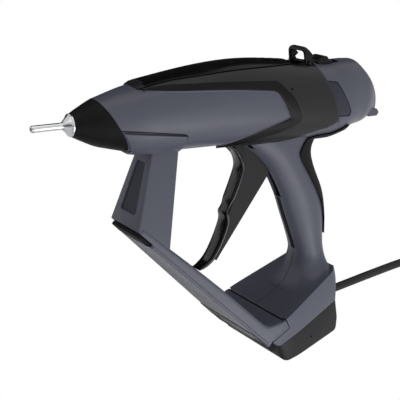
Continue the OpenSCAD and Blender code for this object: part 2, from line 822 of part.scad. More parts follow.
// Stand
beam_top = [[-beam_len - 25, 10], [-110, 11], [-80, 12], [-56, 15.4], [-36, 23], [-14, 34]];
beam_low = flat_depth + 0.5;
function beam_w(s) = foot_w + (base_w - foot_w) * (s + beam_len + 25) / beam_len;
function slab(s, low, high, w, r) = [for (q = [[1, 1], [-1, 1], [-1, -1], [1, -1]], a = [0, 45, 90])
    let(d = q[0] * q[1] > 0 ? a : 90 - a) [s, q[0] * (w - r + r * cos(d)),
    (q[1] > 0 ? high - r : low + r) + q[1] * r * sin(d)]];
function leg_ring(z, inset) = let(f = -50.2 + 0.304 * (z + 26.4) + inset, b = -26.4 + 0.205 * (z + 26) - inset,
    w = 12 + (foot_w - 12) * (-26 - z) / 58 - inset, r = 4)
    [for (p = slab(0, f, b, w, r)) [p[2], -p[1], z]];
module beam(inset, from, low) {
    stations = [from, -140, -110, -80, -56, -36, -14];
    on_surface() loft([for (s = stations) slab(s, low, blend(beam_top, s, 1) - inset, beam_w(s) - inset,
        inset > 0 ? 1 : 3)]);
}
module leg(inset, low) {
    loft([leg_ring(low, inset), leg_ring(-84, inset), leg_ring(-55, inset), leg_ring(-18, inset)]);
}
module front_foot_block(grow) {
    on_surface() box([-beam_len - 21 - grow, -beam_len - 4 + grow], [-foot_w + 4 - grow, foot_w - 4 + grow],
        [flat_depth, flat_depth + foot_t + grow]);
}
// Pads under the rear corners of the beam
module rear_feet_block(grow) {
    mid = beam_w(-22) - 10.1;
    for (y = [-1, 1]) on_surface() translate([-29 - grow, y * mid - 7.4 - grow, flat_depth])
        cube([14 + 2 * grow, 14.8 + 2 * grow, foot_t + grow]);
}
module stand() {
    color(grey) rest() moulded() difference() {
        union() {
            difference() {
                union() {
                    beam(0, -beam_len - 25, beam_low);
                    leg(0, -112);
                }
                beam(wall, -140, -10);
                barrel_solid(-fit);
            }
            intersection() {
                barrel_layer(collar_t);
                across(big) polygon([[-81, -4.8], [-29, -11.4], [-28, -13.5], [-31, -60], [-90, -60],
                    [-90, -4.8]]);
                behind(-barrel_front + gap, nose_lean);
            }
        }
        leg(wall, -84);
        on_surface() translate([-big, -big / 2, beam_low - big]) cube(big);
        front_foot_block(fit);
        rear_feet_block(fit);
        at_base() translate([clip[0], 0, clip[1]]) rotate([0, -atan2(lip[1] - clip[1], lip[0] - clip[0]), 0])
            translate([-big / 2, -big / 2, gap - big]) cube(big);
        translate([-58.2, 0, -52]) rotate([0, 90 + atan(0.304), 0]) translate([0, 0, -4]) linear_extrude(5.6)
            polygon([[-20, -6], [-20, 6], [20, 11.6], [20, -11.6]]);
    }
}
module front_foot() {
    color(black) rest() front_foot_block(0);
}
module rear_feet() {
    color(black) rest() rear_feet_block(0);
}

// Base
board_v = 1.2;
terminal_u = [42, 50];
module base_cover() {
    color(black) rest() difference() {
        moulded() difference() {
            at_base() union() {
                difference() {
                    base_block(0) cover_outline();
                    base_hollow_low();
                }
                intersection() {
                    for (p = base_screw_at) translate([p[0], p[1], -40])
                        cylinder(r = post_r, h = 40 - fit, $fn = 24);
                    base_block(0) cover_outline();
                }
                intersection() {
                    for (u = [10, 46], y = [-15, 15]) translate([u, y, -40])
                        cylinder(r = 2.4, h = 40 + board_v - fit, $fn = 16);
                    union() {
                        base_block(0) cover_outline();
                        box([4, 54], [-20, 20], [-2, 20]);
                    }
                }
            }
            on_surface() translate([-big / 2, -big / 2, flat_depth - big]) cube(big);
        }
        at_base() {
            for (p = base_screw_at) translate([p[0], p[1], -big / 2]) {
                cylinder(r = screw_d / 2 + run, h = big);
                cylinder(r = head_d / 2 + gap, h = big / 2 - 10);
            }
            gland_axis() translate([0, 0, -10]) cylinder(r = cord_d / 2 + 2.4, h = 20);
        }
    }
}
module base_hollow_low() {
    base_block(base_wall) polygon([[-1, 20], [base_len, 20], [base_len, 0], cover_rear, apex, [0, 0]]);
}
module gland_axis() {
    translate([gland[0], 0, gland[1]]) rotate([0, 90 + rear_lean, 0]) children();
}
module base_screws() {
    color(steel) rest() at_base() for (p = base_screw_at) translate([p[0], p[1], -10 - fit]) {
        translate([0, 0, -2.4]) cylinder(r = head_d / 2, h = 2.4);
        cylinder(r = screw_d / 2, h = 17);
    }
}
module circuit_board() {
    color("darkgreen") rest() at_base() box([6, 52], [-18, 18], [board_v, board_v + board_t]);
}
module board_parts() {
    top = board_v + board_t + fit;
    color("dimgray") rest() at_base() {
        translate([18, 11, top]) cylinder(r = 5, h = 8.5);
        box([24, 34], [-17, -7], [top, top + 9]);
        box([26, 40], [3, 16], [top, top + 6]);
    }
}
module terminal_block() {
    low = board_v + board_t + fit;
    color("seagreen") rest() at_base() box(terminal_u, [-14, 2], [low, low + 10]);
}
lead_d = 4;
module heater_lead() {
    from = base_pt([terminal_u[1] + gap, board_v + 7]);
    start = [for (d = [0, 3, 6]) [from[0] + d * cos(base_tilt), -2, from[1] + d * sin(base_tilt)]];
    route = [[104, 2, -150], [106, 3, -134], [109.4, 2, -112], [107, 2, -94], [103.6, 3, -74], [95, 6, -52],
        [87, 7, -38], [82, 8, -24], [78, 13, -8], [72, 17, 8], [58, 17, 16], [30, 16, 16], [12, 9, 14]];
    end = [[chamber_rear + 9, 2, heater_ring + 0.6], [chamber_rear + gap, 0, heater_ring]];
    color("firebrick") rest() tube(curve(concat(start, route, end), 3), lead_d / 2, 8);
}

// Top fittings
module switch_body() {
    color(black) rest() box([slider_x - 8, slider_x + 14], [-6, 6],
        [slider_floor - tub_t - 12, slider_floor - tub_t - fit]);
}
module power_slider() {
    h = 6.8;
    color(black) rest() {
        box([slider_x - slider_len / 2, slider_x + slider_len / 2], [-slider_w / 2, slider_w / 2],
            [slider_floor + gap, slider_floor + gap + h]);
        box([slider_x - stem_w / 2, slider_x + stem_w / 2], [-stem_w / 2, stem_w / 2],
            [slider_floor - tub_t + gap, slider_floor + 1]);
    }
}
module hanging_bail() {
    color(black) rest() translate([bail_at[0], 0, bail_at[1]]) rotate([0, -bail_lean, 0]) difference() {
        union() {
            pin_y(0, 0, 3, -bail_w / 2, bail_w / 2);
            across(bail_w) polygon([[-3, 0], [3, 0], [2.4, bail_h], [-2.4, bail_h]]);
        }
        box([-6, 6], [-bail_w / 2 + bail_leg, bail_w / 2 - bail_leg], [-6, bail_h - bail_leg]);
        pin_y(0, 0, bail_pin_d / 2 + run, -big, big);
    }
}
module bail_pin() {
    half = pocket_w / 2 + 1.4;
    color(charcoal) rest() pin_y(bail_at[0], bail_at[1], bail_pin_d / 2, -half, half);
}

// Cord
module strain_relief() {
    r = cord_d / 2 + 2.2;
    color(black) rest() at_base() gland_axis() difference() {
        rotate_extrude() polygon([[0, -base_wall - 2.4], [r + 2, -base_wall - 2.4], [r + 2, -base_wall - fit],
            [r, -base_wall - fit], [r, fit], [r + 2, fit], [r + 2, 2.4], [cord_d / 2 + 1, gland_len - 1],
            [cord_d / 2 + 1, gland_len], [0, gland_len]]);
        translate([0, 0, gland_len - 6]) cylinder(r = cord_d / 2 + fit, h = 10);
    }
}
function coil_point(a) = let(half = coil_loops * 360, r = a < half ? coil_out - coil_pitch * a / 360 :
    a < half + 90 ? coil_in - coil_pitch * (a - half) / 360 :
    a < half + 180 ? coil_in - coil_pitch * (half + 180 - a) / 360 :
    coil_in + coil_pitch * (a - half - 180) / 360,
    drop = min(max((a - half) / 180, 0), 1))
    [coil_at[0] + r * cos(coil_start - a), coil_at[1] + r * sin(coil_start - a),
    coil_low + coil_pitch * (1 - drop)];
coil_path = [for (i = [0:coil_turn / 15]) coil_point(15 * i)];
coil_ahead = unit(coil_path[1] - coil_path[0]);
coil_after = unit(coil_path[len(coil_path) - 1] - coil_path[len(coil_path) - 2]);
coil_space = min([for (i = [0:len(coil_path) - 13], j = [i + 12:len(coil_path) - 1])
    norm(coil_path[i] - coil_path[j])]) - cord_d;
module cord() {
    start = relief_end - 5.5 * way;
    color(black) tube(curve(concat([start, relief_end + 2 * way], cord_route, [coil_path[0] - 12 * coil_ahead,
        coil_path[0] - gap * coil_ahead]), 4), cord_d / 2, 10);
}
module cord_coil() {
    echo(coil_space = coil_space);
    color(black) tube(coil_path, cord_d / 2, 6);
}
module cord_tail() {
    last = coil_path[len(coil_path) - 1];
    to_plug = [cos(plug_turn), sin(plug_turn), 0];
    color(black) tube(curve(concat([last + gap * coil_after, last + 7 * coil_after], tail_route,
        [plug_at - gap * to_plug]), 4), cord_d / 2, 10);
}
module coil_tie() {
    r0 = coil_in - coil_pitch / 4 - cord_d / 2 - fit - 0.4;
    r1 = coil_out + cord_d / 2 + fit + 0.4;
    top = coil_low + coil_pitch + cord_d / 2 + fit + 0.3;
    color("dimgray") translate([coil_at[0], coil_at[1], 0]) rotate(255) difference() {
        box([r0 - tie_t, r1 + tie_t], [-5, 5], [0, top + tie_t]);
        box([r0, r1], [-6, 6], [tie_t, top]);
    }
}
module at_plug() {
    translate(plug_at) rotate(plug_turn) children();
}
module plug_bore(y, r, x0, x1) {
    translate([x0, y, 0]) rotate([0, 90, 0]) cylinder(r = r, h = x1 - x0);
}
module plug() {
    color(black) at_plug() difference() {
        translate([0, 0, -plug_h / 2]) linear_extrude(plug_h) polygon([[0, -7], [10, -9], [22, -17.5],
            [plug_len, -17.5], [plug_len, 17.5], [22, 17.5], [10, 9], [0, 7]]);
        for (y = [-pin_y0, pin_y0]) plug_bore(y, pin_root + run, plug_len - 12, plug_len + 5);
    }
}
module plug_pins() {
    color(steel) at_plug() for (y = [-pin_y0, pin_y0]) {
        plug_bore(y, pin_root, plug_len - 12 + fit, plug_len);
        plug_bore(y, pin_r, plug_len - 1, plug_len + pin_len);
    }
}

housing_left();
housing_right();
top_cover();
side_panel_left();
side_panel_right();
rear_cap();
cap_inlays();
nose_cone();
nozzle();
valve_ball();
valve_spring();
melt_chamber();
heater_cartridges();
temperature_sensor();
heat_shield();
front_spacer();
rear_spacer();
inlet_sleeve();
stick_guide();
guide_bracket();
feed_carriage();
clamp_jaw();
jaw_pin();
return_spring();
trigger();
trigger_pad();
trigger_pin();
grip_pad();
grip_strip();
stand();
front_foot();
rear_feet();
base_cover();
circuit_board();
board_parts();
terminal_block();
heater_lead();
switch_body();
power_slider();
hanging_bail();
bail_pin();
housing_screws();
base_screws();
strain_relief();
cord();
cord_coil();
cord_tail();
coil_tie();
plug();
plug_pins();
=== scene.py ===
from math import asin, atan, atan2, copysign, cos, pi, radians, sin, sqrt, tan

import bpy
from mathutils import Matrix, Vector


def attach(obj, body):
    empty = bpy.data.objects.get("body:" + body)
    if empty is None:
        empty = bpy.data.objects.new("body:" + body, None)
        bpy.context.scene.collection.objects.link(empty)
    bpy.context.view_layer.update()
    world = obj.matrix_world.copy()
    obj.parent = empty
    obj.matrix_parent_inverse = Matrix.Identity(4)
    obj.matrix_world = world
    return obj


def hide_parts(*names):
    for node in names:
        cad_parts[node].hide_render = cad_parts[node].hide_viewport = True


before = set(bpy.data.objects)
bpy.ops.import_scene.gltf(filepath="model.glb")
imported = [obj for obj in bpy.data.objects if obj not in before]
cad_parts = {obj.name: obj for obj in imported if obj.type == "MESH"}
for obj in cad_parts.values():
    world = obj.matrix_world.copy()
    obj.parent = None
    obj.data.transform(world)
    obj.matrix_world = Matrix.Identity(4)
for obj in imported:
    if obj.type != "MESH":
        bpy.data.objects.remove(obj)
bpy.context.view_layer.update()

bl_info = {
    "name": "Hot glue applicator",
    "version": (1, 0, 0),
    "blender": (4, 5, 0),
    "location": "View3D > Sidebar > Glue gun",
    "description": "Dresses the packed glue gun with smooth mouldings, soft parts, its lead and finishes",
    "category": "Object",
}


def placed(x, z, turn):
    """A place in the mid plane, turned about Y."""
    return Matrix.Translation((x, 0, z)) @ Matrix.Rotation(turn, 4, "Y")


# The gun is drawn in millimetres with its barrel along X and the nozzle at -X, then tipped onto its stand.
TILT = radians(44)
# Sharp lower corner of the base, its distance from the middle of the gun, and height of the flat on it
APEX, MIDDLE, FLAT = Vector((55.8953, 0, -206.1605)), 126.607, 1.6
MM = Matrix.Scale(0.001, 4)
GUN = MM @ placed(MIDDLE, -FLAT, -TILT) @ Matrix.Translation(-APEX)
SURFACE = placed(APEX.x, APEX.z, TILT)
BASE = placed(50.2, -189.5, -radians(20.5))
# Clearance of what fits together, joint between mouldings, and half the joint between the housing's halves
FIT, GAP, PARTING = 0.1, 0.4, 0.28
# Pins of the trigger and the bail: x and height
TRIGGER_PIN, BAIL_PIN = (46, -24), (92, 31.8)
FAR = 400  # beyond any piece


def tone(red, green, blue):
    """A screen colour as linear light."""
    shares = (c / 255 for c in (red, green, blue))
    return tuple(c / 12.92 if c < 0.0405 else ((c + 0.055) / 1.055) ** 2.4 for c in shares)


def colour_property(name, description, default):
    return bpy.props.FloatVectorProperty(
        name=name, description=description, default=default, size=3, min=0, max=1, subtype="COLOR")


class GlueGunSizes(bpy.types.PropertyGroup):
    wall: bpy.props.FloatProperty(
        name="Wall", description="Wall of the housing in millimetres", default=2.4, min=1.5, max=3)
    panel_t: bpy.props.FloatProperty(
        name="Side panel", description="Thickness of the side panels in millimetres",
        default=1.8, min=1, max=2.6)
    cover_t: bpy.props.FloatProperty(
        name="Top cover", description="Thickness of the top cover in millimetres", default=2.2, min=1.6, max=3)
    cord_d: bpy.props.FloatProperty(
        name="Lead", description="Diameter of the mains lead", default=0.007, unit="LENGTH")
    lens: bpy.props.FloatProperty(
        name="Lens", description="Focal length of the camera", default=99.1, subtype="DISTANCE_CAMERA")
    lamp: bpy.props.FloatProperty(
        name="Lamps", description="Power of the main lamp in watts", default=4.4, unit="POWER")


class GlueGunColours(bpy.types.PropertyGroup):
    slate: colour_property("Slate", "Housing, rear cap and stand", tone(91, 93, 106))
    charcoal: colour_property("Charcoal", "Side panels", tone(42, 41, 43))
    gloss: colour_property("Gloss black", "Top cover, finger band and top fittings", tone(17, 17, 18))
    heat: colour_property("Heat guard", "Nose cone", tone(20, 20, 21))
    rubber: colour_property("Soft black", "Grip insert and feet", tone(26, 26, 28))
    lead: colour_property("Lead", "Mains lead and plug", tone(44, 44, 46))
    steel: colour_property("Steel", "Nozzle and pins", tone(205, 206, 208))
    floor: colour_property("Floor", "The floor", tone(232, 232, 234))


def sizes():
    return bpy.context.scene.glue_gun_sizes


def colours():
    return bpy.context.scene.glue_gun_colours


# Finishes

class Socket:
    """An output of a finish's node; arithmetic on it adds Math nodes."""

    def __init__(self, finish, node, name=0):
        self.finish, self.node, self.link = finish, node, node.outputs[name]

    def out(self, name):
        return Socket(self.finish, self.node, name)

    def math(self, operation, a, b):
        return self.finish.node("ShaderNodeMath", {"operation": operation}, {0: a, 1: b})

    def __add__(self, other):
        return self.math("ADD", self, other)

    __radd__ = __add__

    def __sub__(self, other):
        return self.math("SUBTRACT", self, other)

    def __rsub__(self, other):
        return self.math("SUBTRACT", other, self)

    def __mul__(self, other):
        return self.math("MULTIPLY", self, other)

    __rmul__ = __mul__


class Finish:
    """One procedural material; its node method adds any node."""

    def __init__(self, name):
        self.material = bpy.data.materials.new(name)
        self.material.use_nodes = True
        self.tree = self.material.node_tree
        self.shader = self.tree.nodes["Principled BSDF"]
        self.place = self.node("ShaderNodeTexCoord").out("Object")

    def node(self, kind, settings=None, inputs=None):
        node = self.tree.nodes.new(kind)
        for key, value in (settings or {}).items():
            setattr(node, key, value)
        for key, value in (inputs or {}).items():
            self.feed(node.inputs[key], value)
        return Socket(self, node)

    def feed(self, socket, value):
        if isinstance(value, Socket):
            self.tree.links.new(value.link, socket)
        else:
            socket.default_value = value

    def set(self, **values):
        for key, value in values.items():
            self.feed(self.shader.inputs[key.replace("_", " ")], value)

    def noise(self, scale, detail):
        return self.node("ShaderNodeTexNoise", None, {"Vector": self.place, "Scale": scale, "Detail": detail})

    def ramp(self, value, low, high):
        return self.node("ShaderNodeMapRange", {"clamp": True},
                         {"Value": value, "From Min": low, "From Max": high})

    def mix(self, factor, a, b):
        return self.node("ShaderNodeMix", {"data_type": "RGBA"}, {0: factor, 6: a, 7: b}).out(2)

    def turned(self, turn):
        return self.node("ShaderNodeMapping", None, {"Vector": self.place, "Rotation": turn})

    def bump(self, height, strength, distance):
        return self.node("ShaderNodeBump", None, {"Height": height, "Strength": strength, "Distance": distance})


def shade(colour, factor):
    return tuple(min(c * factor, 1) for c in colour[:3]) + (1,)


def moulded_finish(name, colour, rough, grain=2200, depth=0.00004, sheen=0.35, dust=0.0):
    """Moulded plastic: spark-eroded grain, slow changes of tone, rubbed and dusty spots."""
    finish = Finish(name)
    broad = finish.noise(16, 3)
    smear = finish.noise(70, 4)
    speck = finish.noise(grain, 2)
    tint = finish.mix(broad, shade(colour, 0.94), shade(colour, 1.06))
    tint = finish.mix(finish.ramp(speck, 0.62, 0.8) * 0.25, tint, shade(colour, 1.5))
    if dust:
        tint = finish.mix(finish.ramp(smear, 0.55, 0.8) * dust, tint, (0.3, 0.3, 0.31, 1))
    finish.set(Base_Color=tint, Roughness=rough + (smear - 0.5) * 0.14 + (speck - 0.5) * 0.06,
               Specular_IOR_Level=sheen, Normal=finish.bump(speck, 0.35, depth))
    return finish.material


def rubber_finish(name, colour):
    finish = Finish(name)
    pores = finish.node("ShaderNodeTexVoronoi", {"feature": "DISTANCE_TO_EDGE"},
                        {"Vector": finish.place, "Scale": 900})
    grain = finish.noise(3000, 2)
    smear = finish.noise(60, 4)
    tint = finish.mix(finish.ramp(smear, 0.35, 0.75), shade(colour, 0.9), shade(colour, 1.3))
    finish.set(Base_Color=tint, Roughness=0.72 + (smear - 0.5) * 0.2, Specular_IOR_Level=0.14,
               Normal=finish.bump(pores + grain * 0.3, 0.5, 0.00008))
    return finish.material


def metal_finish(name, colour, rough, turn=(0, 0, 0), tarnish=0.08):
    """Machined metal: fine tool marks around the piece, with small changes of gloss."""
    finish = Finish(name)
    rings = finish.node("ShaderNodeTexWave", {"wave_type": "BANDS", "bands_direction": "X"},
                        {"Vector": finish.turned(turn), "Scale": 900, "Distortion": 1.0, "Detail": 1.0,
                         "Detail Scale": 1.0})
    smear = finish.noise(120, 4)
    tint = finish.mix(finish.ramp(smear, 0.5, 0.85) * 0.6, shade(colour, 1), shade(colour, 1 - tarnish * 3))
    finish.set(Base_Color=tint, Metallic=1.0, Roughness=rough + (smear - 0.5) * 0.1 + (rings - 0.5) * 0.03,
               Normal=finish.bump(rings, 0.04, 0.00001))
    return finish.material


def lead_finish(name, colour):
    finish = Finish(name)
    smear = finish.noise(45, 4)
    grain = finish.noise(1800, 2)
    tint = finish.mix(finish.ramp(smear, 0.3, 0.75), shade(colour, 0.85), shade(colour, 1.15))
    finish.set(Base_Color=tint, Roughness=0.5 + (smear - 0.5) * 0.2, Specular_IOR_Level=0.2,
               Normal=finish.bump(grain, 0.3, 0.00004))
    return finish.material


def ceramic_finish(name, colour, rough=0.7):
    finish = Finish(name)
    cloud = finish.noise(90, 5)
    grain = finish.noise(1500, 3)
    tint = finish.mix(cloud, shade(colour, 0.88), shade(colour, 1.06))
    finish.set(Base_Color=tint, Roughness=rough + (cloud - 0.5) * 0.15,
               Normal=finish.bump(grain, 0.4, 0.00005))
    return finish.material


def board_finish(name):
    """Green board with paler copper runs under the lacquer."""
    finish = Finish(name)
    runs = finish.node("ShaderNodeTexBrick", {"offset": 0.5},
                       {"Vector": finish.place, "Scale": 160.0, "Mortar Size": 0.05})
    grain = finish.noise(500, 3)
    tint = finish.mix(runs.out("Fac"), (0.02, 0.12, 0.05, 1), (0.05, 0.24, 0.09, 1))
    finish.set(Base_Color=tint, Roughness=0.35 + (grain - 0.5) * 0.1,
               Normal=finish.bump(runs.out("Fac"), 0.2, 0.00005))
    return finish.material


KEPT = {}


def finishes():
    """The finishes, made once and kept by name."""
    if "slate" in KEPT:
        return KEPT
    c = colours()
    axis = (0, TILT, 0)
    KEPT.update(
        slate=moulded_finish("slate_plastic", c.slate, 0.36, sheen=0.32),
        # Slate darkened to half: painted shade on the floors of the finger recesses in the rear cap and of the
        # recess in the leg
        slate_shade=moulded_finish("slate_recess_painted_shade", shade(c.slate, 0.5), 0.5, grain=1300, sheen=0.12),
        charcoal=moulded_finish("charcoal_plastic", shade(c.charcoal, 0.75), 0.36, grain=1700, sheen=0.24,
                                dust=0.02),
        # A darker copy of the charcoal: painted shade on the sloping bevel round the windows; under the rear of
        # the beam it is both the base cover's black fins and painted shade
        bevel=moulded_finish("charcoal_bevel_painted_shade", shade(c.charcoal, 0.3), 0.34, sheen=0.12),
        gloss=moulded_finish("gloss_black", c.gloss, 0.2, grain=2600, depth=0.00001, sheen=0.12, dust=0.01),
        band=moulded_finish("band_gloss", shade(c.gloss, 0.6), 0.17, depth=0.000006, sheen=0.45),
        heat=moulded_finish("heat_guard", c.heat, 0.55, grain=1500, sheen=0.1),
        trigger=moulded_finish("trigger_plastic", shade(c.charcoal, 1.05), 0.5, grain=1500, sheen=0.16),
        fittings=moulded_finish("fitting_plastic", shade(c.gloss, 1.2), 0.3, sheen=0.16),
        base=moulded_finish("base_plastic", shade(c.rubber, 1.5), 0.46, grain=1300, sheen=0.2, dust=0.02),
        rubber=rubber_finish("soft_rubber", c.rubber),
        lead=lead_finish("lead_sheath", c.lead),
        steel=metal_finish("bright_steel", shade(c.steel, 0.92), 0.17, turn=axis, tarnish=0.04),
        zinc=metal_finish("zinc_steel", shade(c.steel, 0.75), 0.34, tarnish=0.12),
        aluminium=metal_finish("cast_aluminium", (0.62, 0.63, 0.65), 0.45, turn=axis),
        brass=metal_finish("brass", (0.72, 0.52, 0.2), 0.3, turn=axis),
        ceramic=ceramic_finish("ceramic_wool", (0.8, 0.77, 0.68)),
        silicone=ceramic_finish("red_silicone", (0.55, 0.16, 0.08), 0.5),
        terminal=moulded_finish("terminal_plastic", (0.05, 0.28, 0.16), 0.45),
        board=board_finish("circuit_board"),
    )
    return KEPT


# Modelling helpers

def deselect():
    if bpy.context.object and bpy.context.object.mode != "OBJECT":
        bpy.ops.object.mode_set(mode="OBJECT")
    bpy.ops.object.select_all(action="DESELECT")


def only(obj):
    deselect()
    obj.select_set(True)
    bpy.context.view_layer.objects.active = obj


def edit(obj):
    only(obj)
    bpy.ops.object.mode_set(mode="EDIT")
    bpy.ops.mesh.select_all(action="SELECT")


def outwards(obj):
    edit(obj)
    bpy.ops.mesh.normals_make_consistent(inside=False)
    bpy.ops.object.mode_set(mode="OBJECT")


def modified(obj, kind, **settings):
    """Add a modifier and apply it."""
    modifier = obj.modifiers.new(kind.lower(), kind)
    for key, value in settings.items():
        setattr(modifier, key, value)
    only(obj)
    bpy.ops.object.modifier_apply(modifier=modifier.name)
    return obj


def cut(obj, *tools, how="DIFFERENCE"):
    """Boolean with other shapes, which are used up."""
    for tool in tools:
        modified(obj, "BOOLEAN", object=tool, operation=how, solver="MANIFOLD")
        bpy.data.objects.remove(tool)
    if not obj.data.polygons:
        raise RuntimeError("nothing left of " + obj.name)
    return obj


def bevelled(obj, width, segments=3, angle=35, **settings):
    return modified(obj, "BEVEL", width=width, segments=segments, limit_method="ANGLE",
                    angle_limit=radians(angle), **settings)


def copied(obj):
    only(obj)
    bpy.ops.object.duplicate()
    return bpy.context.object


def rolled(name, rows, cols, shape, wrap=True, fill=True):
    """A grid whose points are laid on shape(u, v), closed round v and filled at its ends."""
    deselect()
    bpy.ops.mesh.primitive_grid_add(x_subdivisions=cols, y_subdivisions=rows, size=1)
    obj = bpy.context.object
    obj.name = name
    for point in obj.data.vertices:
        point.co = shape(point.co.y + 0.5, point.co.x + 0.5)
    edit(obj)
    if wrap:
        bpy.ops.mesh.remove_doubles(threshold=0.0005)
    if fill:
        bpy.ops.mesh.fill_holes(sides=0)
    bpy.ops.mesh.normals_make_consistent(inside=False)
    bpy.ops.object.mode_set(mode="OBJECT")
    return obj


def prism(name, outline, low, high):
    """An outline in X and Z, drawn out along Y."""
    deselect()
    bpy.ops.mesh.primitive_circle_add(vertices=len(outline), fill_type="NGON")
    obj = bpy.context.object
    obj.name = name
    for point, (x, z) in zip(obj.data.vertices, outline):
        point.co = (x, low, z)
    edit(obj)
    bpy.ops.mesh.extrude_region_move(TRANSFORM_OT_translate={"value": (0, high - low, 0)})
    bpy.ops.object.mode_set(mode="OBJECT")
    outwards(obj)
    return obj


def plate(name, outline, low, high):
    """An outline in X and Y, drawn out along Z."""
    obj = prism(name, outline, low, high)
    for point in obj.data.vertices:
        point.co = (point.co.x, point.co.z, point.co.y)
    outwards(obj)
    return obj


def block(name, x, y, z):
    deselect()
    bpy.ops.mesh.primitive_cube_add(size=1, location=((x[0] + x[1]) / 2, (y[0] + y[1]) / 2, (z[0] + z[1]) / 2))
    obj = bpy.context.object
    obj.name = name
    obj.scale = (x[1] - x[0], y[1] - y[0], z[1] - z[0])
    bpy.ops.object.transform_apply(location=True, rotation=True, scale=True)
    return obj


def drum(name, x, z, r, low, high, facets=40):
    """A cylinder along Y."""
    deselect()
    bpy.ops.mesh.primitive_cylinder_add(vertices=facets, radius=r, depth=high - low,
                                        location=(x, (low + high) / 2, z), rotation=(pi / 2, 0, 0))
    obj = bpy.context.object
    obj.name = name
    bpy.ops.object.transform_apply(location=True, rotation=True, scale=True)
    return obj


def region(name, x=(-FAR, FAR), y=(-FAR, FAR), z=(-FAR, FAR)):
    """A block without end where no limits are given."""
    return block(name, x, y, z)


def ring(x, y, r, count=28):
    return [(x + r * cos(2 * pi * k / count), y + r * sin(2 * pi * k / count)) for k in range(count)]


def spun(name, profile, facets=64, fill=True):
    """A profile of (x, radius), turned about the X axis."""
    def shape(u, v):
        x, r = profile[round(u * (len(profile) - 1))]
        return x, r * cos(2 * pi * v), r * sin(2 * pi * v)
    return rolled(name, len(profile) - 1, facets, shape, fill=fill)


def lofted(name, rings):
    """A closed skin over rings of points."""
    sides = len(rings[0])
    return rolled(name, len(rings) - 1, sides,
                  lambda u, v: rings[round(u * (len(rings) - 1))][round(v * sides) % sides])


def swept(name, path, section):
    """A section carried along a path in Y and Z: its first value along X, the second square to the path."""
    across = Vector((1, 0, 0))
    rings = []
    for i, point in enumerate(path):
        along = (path[min(i + 1, len(path) - 1)] - path[max(i - 1, 0)]).normalized()
        rings.append([point + across * a + along.cross(across) * b for a, b in section])
    return lofted(name, rings)


def moved(obj, matrix):
    obj.data.transform(matrix)
    return obj


def done(obj, name, body, slot, finish, *nodes, place=GUN, smooth=32):
    """Put a finished piece in its place, shade it, give it its finish, hang it on its body, and hide the
    imported parts it stands for.
    """
    obj.name = obj.data.name = name
    moved(obj, place)
    only(obj)
    bpy.ops.object.shade_smooth_by_angle(angle=radians(smooth))
    obj.data.materials.clear()
    obj.data.materials.append(finishes()[finish])
    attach(obj, body)
    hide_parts(*nodes)
    return obj


def second_finish(obj, faces, finish):
    """Give some faces of a finished piece another finish."""
    obj.data.materials.append(finishes()[finish])
    for i in faces:
        obj.data.polygons[i].material_index = 1


# Curves and surfaces of the gun

def evenly(low, high, count):
    """Evenly spaced values from low to high."""
    return [low + (high - low) * k / count for k in range(count + 1)]


def spline(points, steps):
    """Smooth curve through points, with steps between each two."""
    points = [Vector(p) for p in points]
    last = len(points) - 1
    out = []
    for i in range(last):
        a, b, c, d = points[max(i - 1, 0)], points[i], points[i + 1], points[min(i + 2, last)]
        for k in range(steps):
            s = k / steps
            out.append(0.5 * (2 * b + (c - a) * s + (2 * a - 5 * b + 4 * c - d) * s * s
                              + (3 * b - a - 3 * c + d) * s ** 3))
    return out + [points[last]]


def spaced(points, count):
    """The same line with evenly spaced points."""
    points = [Vector(p) for p in points]
    run = [0.0]
    for a, b in zip(points, points[1:]):
        run.append(run[-1] + (b - a).length)
    out, i = [], 0
    for k in range(count + 1):
        want = run[-1] * k / count
        while i < len(points) - 2 and run[i + 1] < want:
            i += 1
        span = run[i + 1] - run[i] or 1
        out.append(points[i].lerp(points[i + 1], min((want - run[i]) / span, 1)))
    return out


def rounded(outline, radius, steps=6):
    """An outline in two dimensions with its corners rounded; radius is one value or one per corner."""
    outline = [Vector(p) for p in outline]
    out = []
    for i, corner in enumerate(outline):
        r = radius[i] if isinstance(radius, (list, tuple)) else radius
        a, b = (outline[i - 1] - corner), (outline[(i + 1) % len(outline)] - corner)
        if r <= 0:
            out.append(corner)
            continue
        half = a.angle(b) / 2
        reach = min(r / tan(half), a.length * 0.49, b.length * 0.49)
        start, end = corner + a.normalized() * reach, corner + b.normalized() * reach
        for k in range(steps + 1):
            s = k / steps
            out.append(start * (1 - s) ** 2 + corner * 2 * s * (1 - s) + end * s * s)
    return out


def power(value, exponent):
    """A power that keeps the sign."""
    return copysign(abs(value) ** exponent, value)


def blend(table, x, column):
    """Smooth value of one column of a table at x."""
    last = len(table) - 1
    i = max([0] + [j for j in range(last) if x >= table[j][0]])
    span = table[i + 1][0] - table[i][0]
    s = (x - table[i][0]) / span

    def rise(j):
        a, b = table[max(j - 1, 0)], table[min(j + 1, last)]
        return (b[column] - a[column]) / (b[0] - a[0])
    return ((2 * s ** 3 - 3 * s * s + 1) * table[i][column] + (s ** 3 - 2 * s * s + s) * span * rise(i)
            + (3 * s * s - 2 * s ** 3) * table[i + 1][column] + (s ** 3 - s * s) * span * rise(i + 1))


# Sections of the barrel: x, top, bottom, half width; of the grip: height, front, back, half width
BARREL = [(-92, 17, 17, 17), (-58, 25.6, 24.6, 24.6), (25, 35.4, 28, 28), (112, 29.2, 30.9, 26.6),
          (127, 30.6, 28, 26), (139, 30.6, 24.6, 23.8), (149, 29.2, 22.8, 21.4), (158, 24.2, 19.5, 16.4),
          (168, 13.6, 17.5, 10)]
GRIP = [(-148, 95, 116, 17.4), (-128, 93, 116.8, 16.4), (-113, 88, 117.1, 15.8), (-94, 80.5, 116.5, 16.4),
        (-75, 73, 113.1, 16.4), (-52, 60, 103.5, 15.4), (-40, 49, 101.5, 15), (-30, 36, 106.5, 14.4),
        (-20, 24, 116.5, 13.4)]
GRIP_TOP, GRIP_LOW = GRIP[-1][0], GRIP[0][0]
SQUARE = 2.25  # exponent of the rounded-square sections
